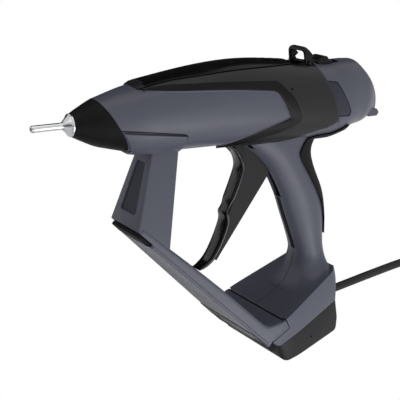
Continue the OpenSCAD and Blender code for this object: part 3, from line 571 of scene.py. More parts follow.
# Leaning ends: x at the axis, and lean
NOSE_TURN, CAP_TURN, INLET_TURN = radians(30.5), radians(21), radians(19)
NOSE_X, NOSE_LEAN = -81.4, tan(NOSE_TURN)
CAP_X, CAP_LEAN = 109, tan(CAP_TURN)
INLET_X, INLET_LEAN = 159.5, tan(INLET_TURN)


def barrel(x, angle, grow=0.0):
    """Point on the barrel; the angle is 90 degrees at the top, and Y falls from 0 to 180 degrees."""
    top, bottom, width = (blend(BARREL, x, k) + grow for k in (1, 2, 3))
    return Vector((x, width * power(cos(angle), 2 / SQUARE),
                   (top - bottom) / 2 + (top + bottom) / 2 * power(sin(angle), 2 / SQUARE)))


def side_angle(x, z):
    """Angle of the near side of the barrel at a height."""
    top, bottom = blend(BARREL, x, 1), blend(BARREL, x, 2)
    s = (z - (top - bottom) / 2) / ((top + bottom) / 2)
    return pi - asin(power(max(min(s, 0.999), -0.999), SQUARE / 2))


def low_angle(x, y):
    """Angle of the underside of the barrel at a distance from the middle."""
    return 1.5 * pi - asin(power(min(y / blend(BARREL, x, 3), 1), SQUARE / 2))


def leaning(u, angle, front, rear, grow):
    """Point on the barrel between two leaning planes, given as (x, lean)."""
    x = front[0] + (rear[0] - front[0]) * u
    for _ in range(5):
        z = barrel(x, angle, grow).z
        a, b = front[0] - z * front[1], rear[0] - z * rear[1]
        x = a + (b - a) * u
    return barrel(x, angle, grow)


def barrel_body(name, front, rear, grow, rows=60, cols=112):
    return rolled(name, rows, cols, lambda u, v: leaning(u, 2 * pi * v, front, rear, grow))


def grip_point(z, angle, inset):
    """Point on the grip at a height; the angle is 0 at its back."""
    f, b, w = blend(GRIP, z, 1) + inset, blend(GRIP, z, 2) - inset, blend(GRIP, z, 3) - inset
    return Vector(((f + b) / 2 + (b - f) / 2 * power(cos(angle), 2 / SQUARE),
                   w * power(sin(angle), 2 / SQUARE), z))


def plain_grip(name, inset):
    """The grip without its foot."""
    def shape(u, v):
        return grip_point(GRIP_TOP + (GRIP_LOW - GRIP_TOP) * u, 2 * pi * v, inset)
    return rolled(name, 64, 96, shape)


# Base, drawn in its own frame: u along the parting line and v square to it
BASE_LEN, BASE_W, BASE_TAPER = 68.4, 42.3, 12
HEEL, LIP, CLIP, BASE_APEX = (80.2, 25.53), (14, 17.9), (-4.1, 6.2), (-0.5, -16.3)
# From above: where its sides end, where its rear lies, and how far the corner between them is cut
SIDE_END, REAR_END, CORNER_CUT = 76, 82, 8
TOP_FROM = BASE @ Vector((LIP[0], 0, LIP[1]))
TOP_SLOPE = (BASE @ Vector((HEEL[0], 0, HEEL[1])) - TOP_FROM).normalized()
TOP_UP = Vector((-TOP_SLOPE.z, 0, TOP_SLOPE.x))
# Joint between the stand and the base
SEAM_TURN = atan2(LIP[1] - CLIP[1], LIP[0] - CLIP[0])
REAR_LEAN = radians(12.2)
# Screws: places, and the radii of their bores, heads, bosses and posts
BASE_SCREWS = [(u, s * y) for u, y in ((12, 31), (50, 24.6)) for s in (-1, 1)]
HOUSING_SCREWS = [(-40, 21.6), (97, -20), (93, -74), (99, -112)]
SCREW_R, HEAD_R, BOSS_R, POST_R = 1.75, 3.4, 4.9, 4


def flare_radius(angle):
    """Radius of the hollow curve at the grip's foot: large in front and at the sides, small behind."""
    front, rear, across = max(-cos(angle), 0), max(cos(angle), 0), abs(sin(angle))
    return 1.5 + 22 * front ** 1.6 + 13 * across ** 1.5 + 13 * rear * across + 7 * rear ** 2


def base_edge(u):
    """Half width of the base's top inside its rounded edge."""
    return BASE_W - BASE_TAPER * (u - LIP[0]) / (SIDE_END - LIP[0]) - 1.4 - 0.8 * max(u - 70, 0)


def flared_grip(name, inset, rows=64, cols=96):
    """The grip, which spreads in a hollow curve onto the top of the base."""
    deepest, sunk, backwards = GRIP_LOW - 2, 1, 0.08

    def shape(u, v):
        angle = 2 * pi * v
        radius = flare_radius(angle) if inset == 0 else 0.5
        low = deepest
        for _ in range(20):
            p = grip_point(max(low, GRIP_LOW), angle, inset)
            low = max(low + ((TOP_FROM - p).dot(TOP_UP) - sunk) * 0.8, deepest)
        p = grip_point(max(GRIP_TOP + (low - GRIP_TOP) * (1 - (1 - u) ** 2), GRIP_LOW), angle, inset)
        height = (p - TOP_FROM).dot(TOP_UP)
        if height < radius:
            reach = radius - sqrt(max(radius ** 2 - (radius - max(height, 0)) ** 2, 0))
            along = min(cos(angle), 0) + backwards * max(cos(angle), 0)
            p = p + TOP_SLOPE * along * reach + Vector((0, sin(angle) * reach, 0))
            edge = base_edge((BASE.inverted() @ p).x)
            p.y = min(max(p.y, -edge), edge)
        return p
    return rolled(name, rows, cols, shape)


def base_plan(inset, front, corner):
    """The base from above, narrower to the rear."""
    w = BASE_W - inset
    back = w - BASE_TAPER
    near = [(front, -w), (LIP[0], -w), (SIDE_END, -back), (REAR_END, CORNER_CUT - back)]
    far = [(u, -y) for u, y in reversed(near)]
    return rounded(near + far, [corner, 200, 14, 8, 8, 14, 200, corner], 8)


def base_block(name, outline, inset, front=-12, corner=0):
    """An outline in the base's frame, drawn out to the base's sides."""
    body = prism(name, outline, -BASE_W - 5, BASE_W + 5)
    return cut(body, plate("plan", base_plan(inset, front, corner), -120, 120), how="INTERSECT")


def base_sides(name, outline, inset, deep):
    """The two outer ends of a block across the base."""
    return moved(cut(base_block(name, outline, inset), region("middle", y=(-deep, deep))), BASE)


def inset_outline(outline, d):
    """A convex outline moved inwards."""
    points = [Vector(p) for p in outline]
    middle = sum(points, Vector((0, 0))) / len(points)
    lines = []
    for a, b in zip(points, points[1:] + points[:1]):
        n = Vector((-(b - a).y, (b - a).x)).normalized()
        if n.dot(middle - a) < 0:
            n = -n
        lines.append((n, n.dot(a) + d))
    out = []
    for (n, p), (m, q) in zip(lines[-1:] + lines[:-1], lines):
        det = n.x * m.y - n.y * m.x
        out.append(Vector(((p * m.y - q * n.y) / det, (n.x * q - m.x * p) / det)))
    return out


def drawn_in(outline, d):
    """An outline with its corners moved towards the middle."""
    middle = sum((Vector(p) for p in outline), Vector((0, 0))) / len(outline)
    return [Vector(p) + (middle - Vector(p)).normalized() * d for p in outline]


# Pieces

class GLUEGUN_OT_housing(bpy.types.Operator):
    """Model the two halves of the housing: barrel, grip and upper base"""
    bl_idname = "glue_gun.housing"
    bl_label = "Housing"

    def execute(self, context):
        shell = self.outside()
        cut(shell, self.inside())
        self.openings(shell)
        other = copied(shell)
        cut(shell, region("near", y=(-FAR, -PARTING)), how="INTERSECT")
        cut(other, region("far", y=(PARTING, FAR)), how="INTERSECT")
        done(shell, "housing_near", "gun", "housing", "slate", "housing_left")
        done(other, "housing_far", "gun", "housing", "slate", "housing_right")
        return {"FINISHED"}

    def outside(self):
        shell = barrel_body("shell", (NOSE_X + GAP, NOSE_LEAN), (CAP_X, CAP_LEAN), 0)
        base_top = rounded([(0, 0), (BASE_LEN, 0), HEEL, LIP, CLIP], [5, 0, 0, 0, 0], 6)
        base = bevelled(base_block("base", base_top, 0), 1.6, 4, 25)
        return cut(shell, flared_grip("grip", 0), moved(base, BASE), how="UNION")

    def inside(self):
        """The hollow, left out around the bosses and posts of the screws."""
        wall = sizes().wall
        space = barrel_body("space", (NOSE_X - 4, NOSE_LEAN), (CAP_X + 8, CAP_LEAN), -wall, 40, 80)
        low = base_block("hollow", inset_outline([(13.2, -20), (59.4, -20), HEEL, LIP, CLIP], wall), wall)
        cut(space, flared_grip("hollow_grip", wall, 40, 64), moved(low, BASE), how="UNION")
        cut(space, *[drum("boss", x, z, BOSS_R, -50, 50) for x, z in HOUSING_SCREWS])
        return cut(space, *[moved(plate("post", ring(u, y, POST_R), -5, 40), BASE) for u, y in BASE_SCREWS])

    def openings(self, shell):
        """Room for the trigger, its pin, the bail, the screws and the stand's tongues."""
        cut(shell, drum("trigger_slot", *TRIGGER_PIN, 9.6, -8.4, 8.4, 64),
            block("web_slot", (38, 82), (-4.4, 4.4), (-78, -26)),
            block("bail_tub", (72.6, 97.8), (-14.6, 14.6), (26, 60)))
        cut(shell, *[drum("bore", x, z, SCREW_R, -9, 50) for x, z in HOUSING_SCREWS])
        cut(shell, *[drum("seat", x, z, HEAD_R, 9, 50) for x, z in HOUSING_SCREWS])
        cut(shell, drum("pin_bore", *TRIGGER_PIN, 2.55, -16, 16),
            base_sides("notch", [(-8, 22), (13.9, 22), (15, 8.95), (-5.5, 5.95)], -1, 36.6))
        cut(shell, *[moved(plate("thread", ring(u, y, SCREW_R), -1, 9), BASE) for u, y in BASE_SCREWS])


# Lines on the near side of the barrel, as x and height; the bevel and the window have three parts each
PANEL_TOP = [(-58.2, 22.8), (-45, 25), (-32, 26.8), (-11, 28.5), (10, 30), (32, 30.6), (55, 30.5), (80, 30.1),
             (97.3, 29.6)]
PANEL_REAR = [(97.3, 29.6), (101.3, 19), (104.6, 10.7), (108, 1.7), (113.6, -13.6)]
PANEL_LOW = [(113.6, -13.6), (105, -17.7), (96, -19.5), (83, -22.6), (71, -25.6)]
BEVEL_LINE = [[(-57.4, 22.7), (-45, 24), (-30, 24.6), (10, 23.9), (45.5, 22), (54.4, 20.6)],
              [(54.4, 20.6), (60.6, 14.7), (67.6, 6.5), (74.3, -6)],
              [(74.3, -6), (72.3, -10.7), (56, -16.7), (39, -20.1), (24, -24.1), (9.5, -27.1)]]
WINDOW_LINE = [[(-57.2, 22.5), (-45, 21.9), (-31, 21.2), (10, 19.2), (45, 15.8), (50.6, 14.4)],
               [(50.6, 14.4), (53, 12.6), (58, 5.6), (64, -5)],
               [(64, -5), (63.4, -7), (42, -13.7), (23, -20.5), (9.2, -26.8)]]
# The panel's edge goes on under the barrel, as x and distance from the middle
PANEL_UNDER = [(54, 9.6), (40, 8.6), (24, 8.6), (9.5, 8.6)]
LINE_STEPS = (40, 24, 40)
PER_RADIAN = 30  # millimetres along the skin, about


def side_line(parts):
    """Points of (x, angle) along a line on the near side."""
    out = []
    for part, count in zip(parts, LINE_STEPS):
        points = spaced(spline(part, 6), count)
        out += [(p.x, side_angle(p.x, p.y)) for p in points[1 if out else 0:]]
    return out


def skin_line(points, count):
    """Evenly spaced points of (x, angle) along a smooth line through a few of them."""
    line = spaced(spline([(x, a * PER_RADIAN) for x, a in points], 6), count)
    return [(p.x, p.y / PER_RADIAN) for p in line]


def panel_lines():
    """The panel's edge, the line where its bevel starts, and the edge of the window."""
    low = [(x, side_angle(x, z)) for x, z in PANEL_LOW] + [(x, low_angle(x, y)) for x, y in PANEL_UNDER]
    outer = side_line([PANEL_TOP, PANEL_REAR]) + skin_line(low, LINE_STEPS[2])[1:]
    return outer, side_line(BEVEL_LINE), side_line(WINDOW_LINE)


def toward(a, b, share):
    """A point on the way between two points of (x, angle)."""
    return a[0] + (b[0] - a[0]) * share, a[1] + (b[1] - a[1]) * share


def panel_shape(thick, outer, bevel, window):
    """Closed section of a side panel at each place along its lines: face, bevel, window edge and back."""
    profile = [(0, FIT), (0, FIT + thick - 0.45), (0.012, FIT + thick - 0.1), (0.03, FIT + thick)]
    profile += [(k / 9, FIT + thick) for k in range(1, 9)] + [(0.985, FIT + thick), (1.03, FIT + thick - 0.08)]
    profile += [(1 + k / 6, FIT + thick - (thick - 0.5) * k / 6) for k in range(1, 6)]
    profile += [(1.96, FIT + 0.42), (2, FIT + 0.25), (2, FIT)]
    profile += [(2 - k / 6, FIT) for k in range(1, 12)]

    def shape(u, v):
        i = round(u * (len(outer) - 1))
        f, grow = profile[round(v * len(profile)) % len(profile)]
        x, a = toward(outer[i], bevel[i], f) if f <= 1 else toward(bevel[i], window[i], f - 1)
        return barrel(x, a, grow)
    return shape, len(outer) - 1, len(profile)


def mirrored(obj):
    """A copy on the far side."""
    other = copied(obj)
    for point in other.data.vertices:
        point.co.y = -point.co.y
    outwards(other)
    return other


class GLUEGUN_OT_side_panels(bpy.types.Operator):
    """Model the side panels with the bevel around their windows, and the window rims"""
    bl_idname = "glue_gun.side_panels"
    bl_label = "Side panels"

    # Section of the rim in millimetres: distance into the window, and height over the skin
    RIM = [(0.0, 0.02), (0.0, 0.3), (0.25, 0.5), (0.7, 0.5), (1.0, 0.3), (1.15, 0.02), (0.6, -0.3)]
    PIN_HOLE = (64.7, 15.8)

    def execute(self, context):
        lines = panel_lines()
        self.panels(*lines)
        self.rims(*lines[1:])
        return {"FINISHED"}

    def panels(self, outer, bevel, window):
        shape, rows, cols = panel_shape(sizes().panel_t, outer, bevel, window)
        near = rolled("panel", rows, cols, shape)
        far = mirrored(near)
        cut(near, drum("pin_hole", *self.PIN_HOLE, 0.9, -40, 0, 20))
        slopes = [(barrel(*start), barrel(*end)) for start, end in zip(bevel, window)]
        for obj, name, node in ((near, "side_panel_near", "side_panel_left"),
                                (far, "side_panel_far", "side_panel_right")):
            # The faces of the bevel get the darker charcoal: painted shade on the slope
            painted_shade_faces = [p.index for p in obj.data.polygons if self.on_bevel(p.center, slopes)]
            done(obj, name, "gun", "panel", "charcoal", node)
            second_finish(obj, painted_shade_faces, "bevel")

    def on_bevel(self, place, slopes):
        """Whether a place lies between the bevel line and the window."""
        p = Vector((place.x, -abs(place.y), place.z))
        for a, b in slopes:
            span = (b - a).length
            if span < 0.5:
                continue
            along = (p - a).dot(b - a) / span ** 2
            aside = (p - a - (b - a) * along).length
            if -0.02 < along < 1.02 and aside < 2.6:
                return True
        return False

    def rims(self, bevel, window):
        def lip(u, v):
            i = round(u * (len(window) - 1))
            across, grow = self.RIM[round(v * len(self.RIM)) % len(self.RIM)]
            span = (barrel(*window[i]) - barrel(*bevel[i])).length
            x, angle = toward(bevel[i], window[i], 1 + min(across / max(span, 0.6), 1.0))
            return barrel(x, angle, grow)
        near = rolled("rim", len(window) - 1, len(self.RIM), lip)
        far = mirrored(near)
        done(near, "window_rim_near", "gun", "housing", "slate")
        done(far, "window_rim_far", "gun", "housing", "slate")


class GLUEGUN_OT_top_cover(bpy.types.Operator):
    """Model the black cover along the top, with its front facet and the bail's pocket"""
    bl_idname = "glue_gun.top_cover"
    bl_label = "Top cover"

    # Ends of the cover; place and length of its front facet, and the thickness at the facet's foot
    FRONT, REAR = -61.2, 97
    FACET_AT, FACET_LEN, FACET_T = -61.6, 5.2, 0.5

    def execute(self, context):
        thick = sizes().cover_t + FIT
        skin = self.skin(thick)
        tub = block("tub", (73, 97.4), (-14.2, 14.2), (26.4, 45))
        cut(tub, barrel_body("limit", (40, 0), (104, 0), thick - 0.15, 20, 80), how="INTERSECT")
        cut(skin, tub, how="UNION")
        cut(skin, block("pocket", (75, 95.4), (-12.2, 12.2), (28.4, 60)))
        cut(skin, drum("pin_bore", *BAIL_PIN, 1.55, -13.7, 13.7, 24))
        cut(skin, *[block("slot", (x, x + 4.6), (-9, 9), (34.4, 60)) for x in (53, 60.4, 67.8)])
        facet_end = self.FACET_AT + self.FACET_LEN + 0.6
        facet = [p.index for p in skin.data.polygons
                 if p.center.x < facet_end and p.normal.x < -0.25 and p.normal.z > 0]
        done(skin, "top_cover_shell", "gun", "cover", "gloss", "top_cover")
        second_finish(skin, facet, "charcoal")
        return {"FINISHED"}

    def skin(self, thick):
        edge = spaced(spline(PANEL_TOP, 6), 120)

        def height(x):
            for a, b in zip(edge, edge[1:]):
                if a.x <= x <= b.x:
                    return a.y + (b.y - a.y) * (x - a.x) / (b.x - a.x) + GAP
            return (edge[0] if x < edge[0].x else edge[-1]).y + GAP

        def shape(u, v):
            x = self.FRONT + (self.REAR - self.FRONT) * u
            start = side_angle(x, height(x))
            angle = start + (pi - 2 * start) * v
            x -= (1 - u) * 1.6 * (1 - (2 * v - 1) ** 2)
            if u > 0.6:
                x += (u - 0.6) / 0.4 * (CAP_X - GAP - barrel(x, angle, thick).z * CAP_LEAN - self.REAR)
            face = min(max((x - self.FACET_AT) / self.FACET_LEN, 0), 1)
            return barrel(x, angle, FIT + self.FACET_T + (thick - FIT - self.FACET_T) * face)
        skin = rolled("cover", 64, 48, shape, wrap=False, fill=False)
        modified(skin, "SOLIDIFY", thickness=-(thick - FIT - 0.1), offset=1)
        outwards(skin)
        return bevelled(skin, 0.45, 2, 50)


def cap_body(name, grow, back, rows=70, cols=112):
    """The rear cap: its side follows the barrel, and its face is drawn in above the inlet."""
    def shape(u, v):
        angle = 2 * pi * v
        away = abs(angle - pi / 2)
        drawn = 6.5 * cos(away) + 1.8 * sin(2 * away) ** 2 if away < pi / 2 else 0
        front = (CAP_X + GAP - (4 if back else 0), CAP_LEAN)
        side = leaning(min(u / 0.8, 1), angle, front, (INLET_X - back - drawn, INLET_LEAN), grow)
        return side.lerp(Vector((INLET_X - back, 0, 0)), max(u - 0.8, 0) / 0.2)
    return rolled(name, rows, cols, shape)


# Finger recess in the side of the rear cap with the radii of its corners, and the slot of the slider's stem
RECESS = [(99, 18.8), (112.6, 17), (115.2, 12.6), (126.9, -8.5), (125.6, -12), (110, -10.9)]
RECESS_ROUND = [0, 2.4, 3, 3, 2.4, 0]
STEM_SLOT = ((110, 121.3), (-2.4, 2.4), (10, 60))
RECESS_DEEP = 1.4
STICK_R, TUBE_R = 5.9, 7.25  # bores for the stick and its guide


def side_prism(name, outline, side):
    """An outline in X and Z, drawn out on one side of the mid plane."""
    return prism(name, outline, *((-40, -2) if side < 0 else (2, 40)))


def cap_core(name, grow):
    """The barrel at the rear cap, grown or shrunk."""
    return barrel_body(name, (95, 0), (140, 0), grow, 30, 112)


class GLUEGUN_OT_rear_cap(bpy.types.Operator):
    """Model the rear cap with its stick inlet, ledge, finger recesses and slider bed"""
    bl_idname = "glue_gun.rear_cap"
    bl_label = "Rear cap"

    def execute(self, context):
        self.shell(sizes().wall)
        self.slider_liner()
        self.inlays()
        return {"FINISHED"}

    def shell(self, wall):
        cap = bevelled(cap_body("cap", 0, 0), 1.1, 4, 45)
        space = cap_body("space", -wall, 5, 50, 80)
        cut(space, block("bed", (102.6, 128.5), (-8.9, 8.9), (26, 60)),
            spun("sleeve", [(144.9, 9.8), (170, 9.8)], 48))
        cut(cap, space)
        ledge = rounded([(155.4, -17.6), (164.6, -17.6), (166.8, -14.8), (164.6, -11.6), (155.4, -11.6)], 1.4)
        cut(cap, bevelled(prism("ledge", ledge, -12.5, 12.5), 0.8, 3, 40), how="UNION")
        for side in (-1, 1):
            hollow = side_prism("hollow", rounded(RECESS, RECESS_ROUND), side)
            cut(cap, cut(hollow, cap_core("core", -RECESS_DEEP)))
        cut(cap, block("slider_bed", (104.8, 126.5), (-6.9, 6.9), (28, 60)), block("stem_slot", *STEM_SLOT),
            flared_grip("grip_hollow", wall, 40, 64), spun("tube_bore", [(100, TUBE_R), (155, TUBE_R)], 64),
            spun("stick_bore", [(154, STICK_R), (175, STICK_R)], 64))
        done(cap, "rear_cap_shell", "gun", "housing", "slate", "rear_cap")

    def slider_liner(self):
        liner = block("liner", (104.9, 126.4), (-6.8, 6.8), (28.05, 40))
        cut(liner, barrel_body("limit", (100, 0), (130, 0), -0.4, 20, 112), how="INTERSECT")
        cut(liner, block("well", (105.7, 125.6), (-6, 6), (28.35, 60)), block("slot", *STEM_SLOT))
        done(liner, "slider_bed_liner", "gun", "fittings", "fittings")

    def inlays(self):
        # The inlays are darkened slate on the floor of each finger recess: painted shade in the hollow
        outline = rounded(drawn_in(RECESS, 0.52), [max(r - 0.2, 0) for r in RECESS_ROUND])
        both = []
        for side in (-1, 1):
            inlay = side_prism("inlay", outline, side)
            cut(inlay, cap_core("skin", -RECESS_DEEP / 2), how="INTERSECT")
            cut(inlay, cap_core("core", 0.1 - RECESS_DEEP))
            both.append(cut(inlay, moved(region("edge", x=(-FAR, 0)), placed(CAP_X + GAP, 0, -CAP_TURN))))
        done(cut(*both, how="UNION"), "cap_recess_painted_shade_inlays", "gun", "inlay", "slate_shade", "cap_inlays")


class GLUEGUN_OT_nose(bpy.types.Operator):
    """Model the heat guard and the nozzle"""
    bl_idname = "glue_gun.nose"
    bl_label = "Nose cone"

    def execute(self, context):
        self.guard()
        self.nozzle()
        return {"FINISHED"}

    def guard(self):
        tip, bore, wall = -109.5, 6.4, 2.2
        outer = spline([(tip + 0.3, 8.75), (tip + 2.6, 9.9), (tip + 7, 12.2), (-92, 17.1), (-83, 19.7),
                        (-64, 24.6)], 6)
        profile = [(tip + 3, bore), (tip, bore), (tip, 8.2), (tip + 0.1, 8.5)] + [(p.x, p.y) for p in outer]
        profile += [(p.x, p.y - wall) for p in reversed(outer) if p.x > tip + 5] + [(tip + 3, bore)]
        guard = spun("guard", profile, 96, fill=False)
        cut(guard, moved(region("behind", x=(0, FAR)), placed(NOSE_X, 0, -NOSE_TURN)))
        bevelled(guard, 0.4, 2, 40)
        done(guard, "nose_guard", "gun", "heat_guard", "heat", "nose_cone")

    def nozzle(self):
        """From the tip: shank, cone, flange, thread, and back through the bore."""
        tip, end, shank = -140, -76, 2.6
        profile = [(tip + 1, 0.95), (tip, 1.0), (tip, 2.0), (tip + 0.25, 2.35), (tip + 0.9, shank)]
        profile += [(x, shank) for x in evenly(tip + 0.9, tip + 23.3, 8)[1:]]
        profile += [(-116.3, 2.7), (-115.9, 2.95), (-115.4, 3.4), (-113.4, 5.3), (-111.4, 7.3), (-111, 7.8),
                    (-110.9, 8.3), (-110.7, 8.5), (-109.75, 8.5), (-109.6, 8.35), (-109.6, 6), (end - 0.5, 6),
                    (end, 5.5), (end, 3.2), (-103.5, 3.2), (-105.5, 1), (tip + 1, 0.95)]
        done(spun("tip", profile, 72), "nozzle_tip", "gun", "nozzle", "steel", "nozzle", smooth=40)


# Front of the finger band, from its curl under the housing to its toe
FINGER_LINE = [(13, -29.4), (19, -30.2), (25, -32.8), (29.5, -38), (33.2, -45), (32.8, -51), (28.4, -63),
               (22.6, -75.5), (19.2, -82.5), (20.2, -90), (15.4, -103.5), (8, -116.5), (0.6, -123),
               (-3.4, -125.4)]
BAND_W, BAND_STEPS = 14.6, 96
# Thickness and share of the full width along the band, from 0 to 1
BAND_THICK = [(0, 0.9), (0.06, 1.9), (0.12, 3.6), (0.17, 3.8), (0.24, 5.2), (0.36, 5.5), (0.46, 5.2),
              (0.53, 3.6), (0.6, 5.2), (0.72, 5.5), (0.86, 5.2), (0.95, 4), (1, 1.6)]
BAND_WIDE = [(0, 0.8), (0.1, 0.92), (0.17, 0.82), (0.24, 1), (0.46, 1), (0.53, 0.8), (0.6, 1), (0.85, 1),
             (1, 0.8)]


class GLUEGUN_OT_finger_band(bpy.types.Operator):
    """Model the glossy finger band on the trigger"""
    bl_idname = "glue_gun.finger_band"
    bl_label = "Finger band"

    def execute(self, context):
        line = spaced(spline(FINGER_LINE, 6), BAND_STEPS)

        def shape(u, v):
            i = round(u * BAND_STEPS)
            along = (line[min(i + 1, BAND_STEPS)] - line[max(i - 1, 0)]).normalized()
            back = Vector((-along.y, along.x))
            thick, wide = blend(BAND_THICK, u, 1), blend(BAND_WIDE, u, 1)
            a = 2 * pi * v
            p = line[i] + back * (thick / 2 * (1 + power(cos(a), 0.85)) + (1 - wide) * 4)
            return p.x, BAND_W / 2 * wide * power(sin(a), 0.75), p.y
        band = rolled("band", BAND_STEPS, 40, shape)
        done(band, "finger_band", "trigger", "cover", "band", "trigger_pad", smooth=50)
        outline = rounded([(21, -30.6), (24, -29), (33, -28.9), (37.4, -29.6), (36.2, -39.4), (31.4, -34.6),
                           (26.6, -31.8)], 0.8, 3)
        gusset = bevelled(prism("gusset", outline, -3.5, 3.5), 0.4, 2, 50)
        done(gusset, "trigger_gusset", "trigger", "trigger", "trigger")
        return {"FINISHED"}


# Front edge of the soft insert, from its top
PAD_EDGE = [(129, -20), (114, -25.8), (95.6, -27.9), (86.1, -37.1), (85.4, -44.4), (97.1, -63.6),
            (111.3, -89.7), (116, -113)]
PAD_T, STRIP_T = 1.5, 0.25


class GLUEGUN_OT_grip_insert(bpy.types.Operator):
    """Model the soft insert behind the grip and the strip down its front"""
    bl_idname = "glue_gun.grip_insert"
    bl_label = "Grip insert"

    def execute(self, context):
        pad = plain_grip("pad", -FIT - PAD_T)
        cut(pad, barrel_body("under", (60, 0), (150, 0), FIT + PAD_T, 40, 112), how="UNION")
        outline = spline(PAD_EDGE, 8) + [Vector((PAD_EDGE[0][0], PAD_EDGE[-1][1]))]
        cut(pad, prism("limit", outline, -60, 60), how="INTERSECT")
        cut(pad, plain_grip("core", -FIT), barrel_body("barrel", (60, 0), (155, 0), FIT, 40, 112))
        done(pad, "soft_grip_insert", "gun", "soft", "rubber", "grip_pad")
        strip = plain_grip("strip", -FIT - STRIP_T)
        cut(strip, block("limit", (0, 100), (-2.4, 2.4), (-125, -79)), how="INTERSECT")
        cut(strip, plain_grip("core", -FIT))
        done(strip, "grip_front_strip", "gun", "soft", "rubber", "grip_strip")
        return {"FINISHED"}


# Stand, drawn along the bench: place s from the base's lower corner, and height
BEAM_LEN, FOOT_W, FOOT_T = 148, 23, 4.4
BEAM_START, BEAM_END, BEAM_LOW = -BEAM_LEN - 25, -14, FLAT + 0.5
BEAM_TOP = [(-173, 10), (-147, 11), (-120, 12.4), (-80, 13.6), (-40, 13.8), (-36, 14.6), (-32.8, 17.2),
            (-28.2, 23.6), (-25.7, 27.4), (-14, 45)]
LEG_FRONT, LEG_REAR = 0.304, 0.205  # slopes
LEG_FACE = placed(-58.2, -52, pi / 2 + atan(LEG_FRONT))
# Upper edge of the collar on the near side, as x and height, and the place of its rear edge below
COLLAR_LINE = [(-80.6, -3.6), (-60, -5.9), (-40, -8.8), (-31, -10.2), (-27.6, -11.4), (-26.2, -13),
               (-26.8, -17)]
COLLAR_REAR = -27.4


def beam_width(s):
    """Half width of the beam, which widens to the rear."""
    return FOOT_W + (BASE_W - FOOT_W) * (s - BEAM_START) / BEAM_LEN


PAD_MID = beam_width(-22) - 10.1


def slab(s, low, high, w, r):
    """Rounded section of the beam: half width w between two heights."""
    out = []
    for sy, sz in ((1, 1), (-1, 1), (-1, -1), (1, -1)):
        middle = high - r if sz > 0 else low + r
        for a in evenly(0, pi / 2, 5):
            a = a if sy * sz > 0 else pi / 2 - a
            out.append(Vector((s, sy * (w - r + r * cos(a)), middle + sz * r * sin(a))))
    return out


def beam_body(name, r):
    return moved(lofted(name, [slab(s, BEAM_LOW, blend(BEAM_TOP, s, 1), beam_width(s), r)
                               for s in evenly(BEAM_START, BEAM_END, 106)]), SURFACE)


def beam_strip(name, stations, low, high, extra, widest, r):
    """A flat bar along the beam's underside, a little wider than the beam."""
    return lofted(name, [slab(s, low, high, min(beam_width(s) + extra, widest), r) for s in stations])


def leg_body(name, inset, low, r):
    """The leg from a height up into the barrel, or the hollow in it."""
    rings = []
    for z in evenly(low, -18, 24):
        f = -50.2 + LEG_FRONT * (z + 26.4) + inset
        b = -26.4 + LEG_REAR * (z + 26) - inset
        w = 12 + (FOOT_W - 12) * (-26 - z) / 58 - inset
        rings.append([Vector((p.z, -p.y, z)) for p in slab(0, f, b, w, r)])
    return lofted(name, rings)


def leg_window(inset, r):
    """Outline of the recess in the leg's front."""
    end, top, low = 20 - inset, 6.4 - inset, 12 - inset
    return rounded([(-end, -top), (-end, top), (end, low), (end, -low)], r)


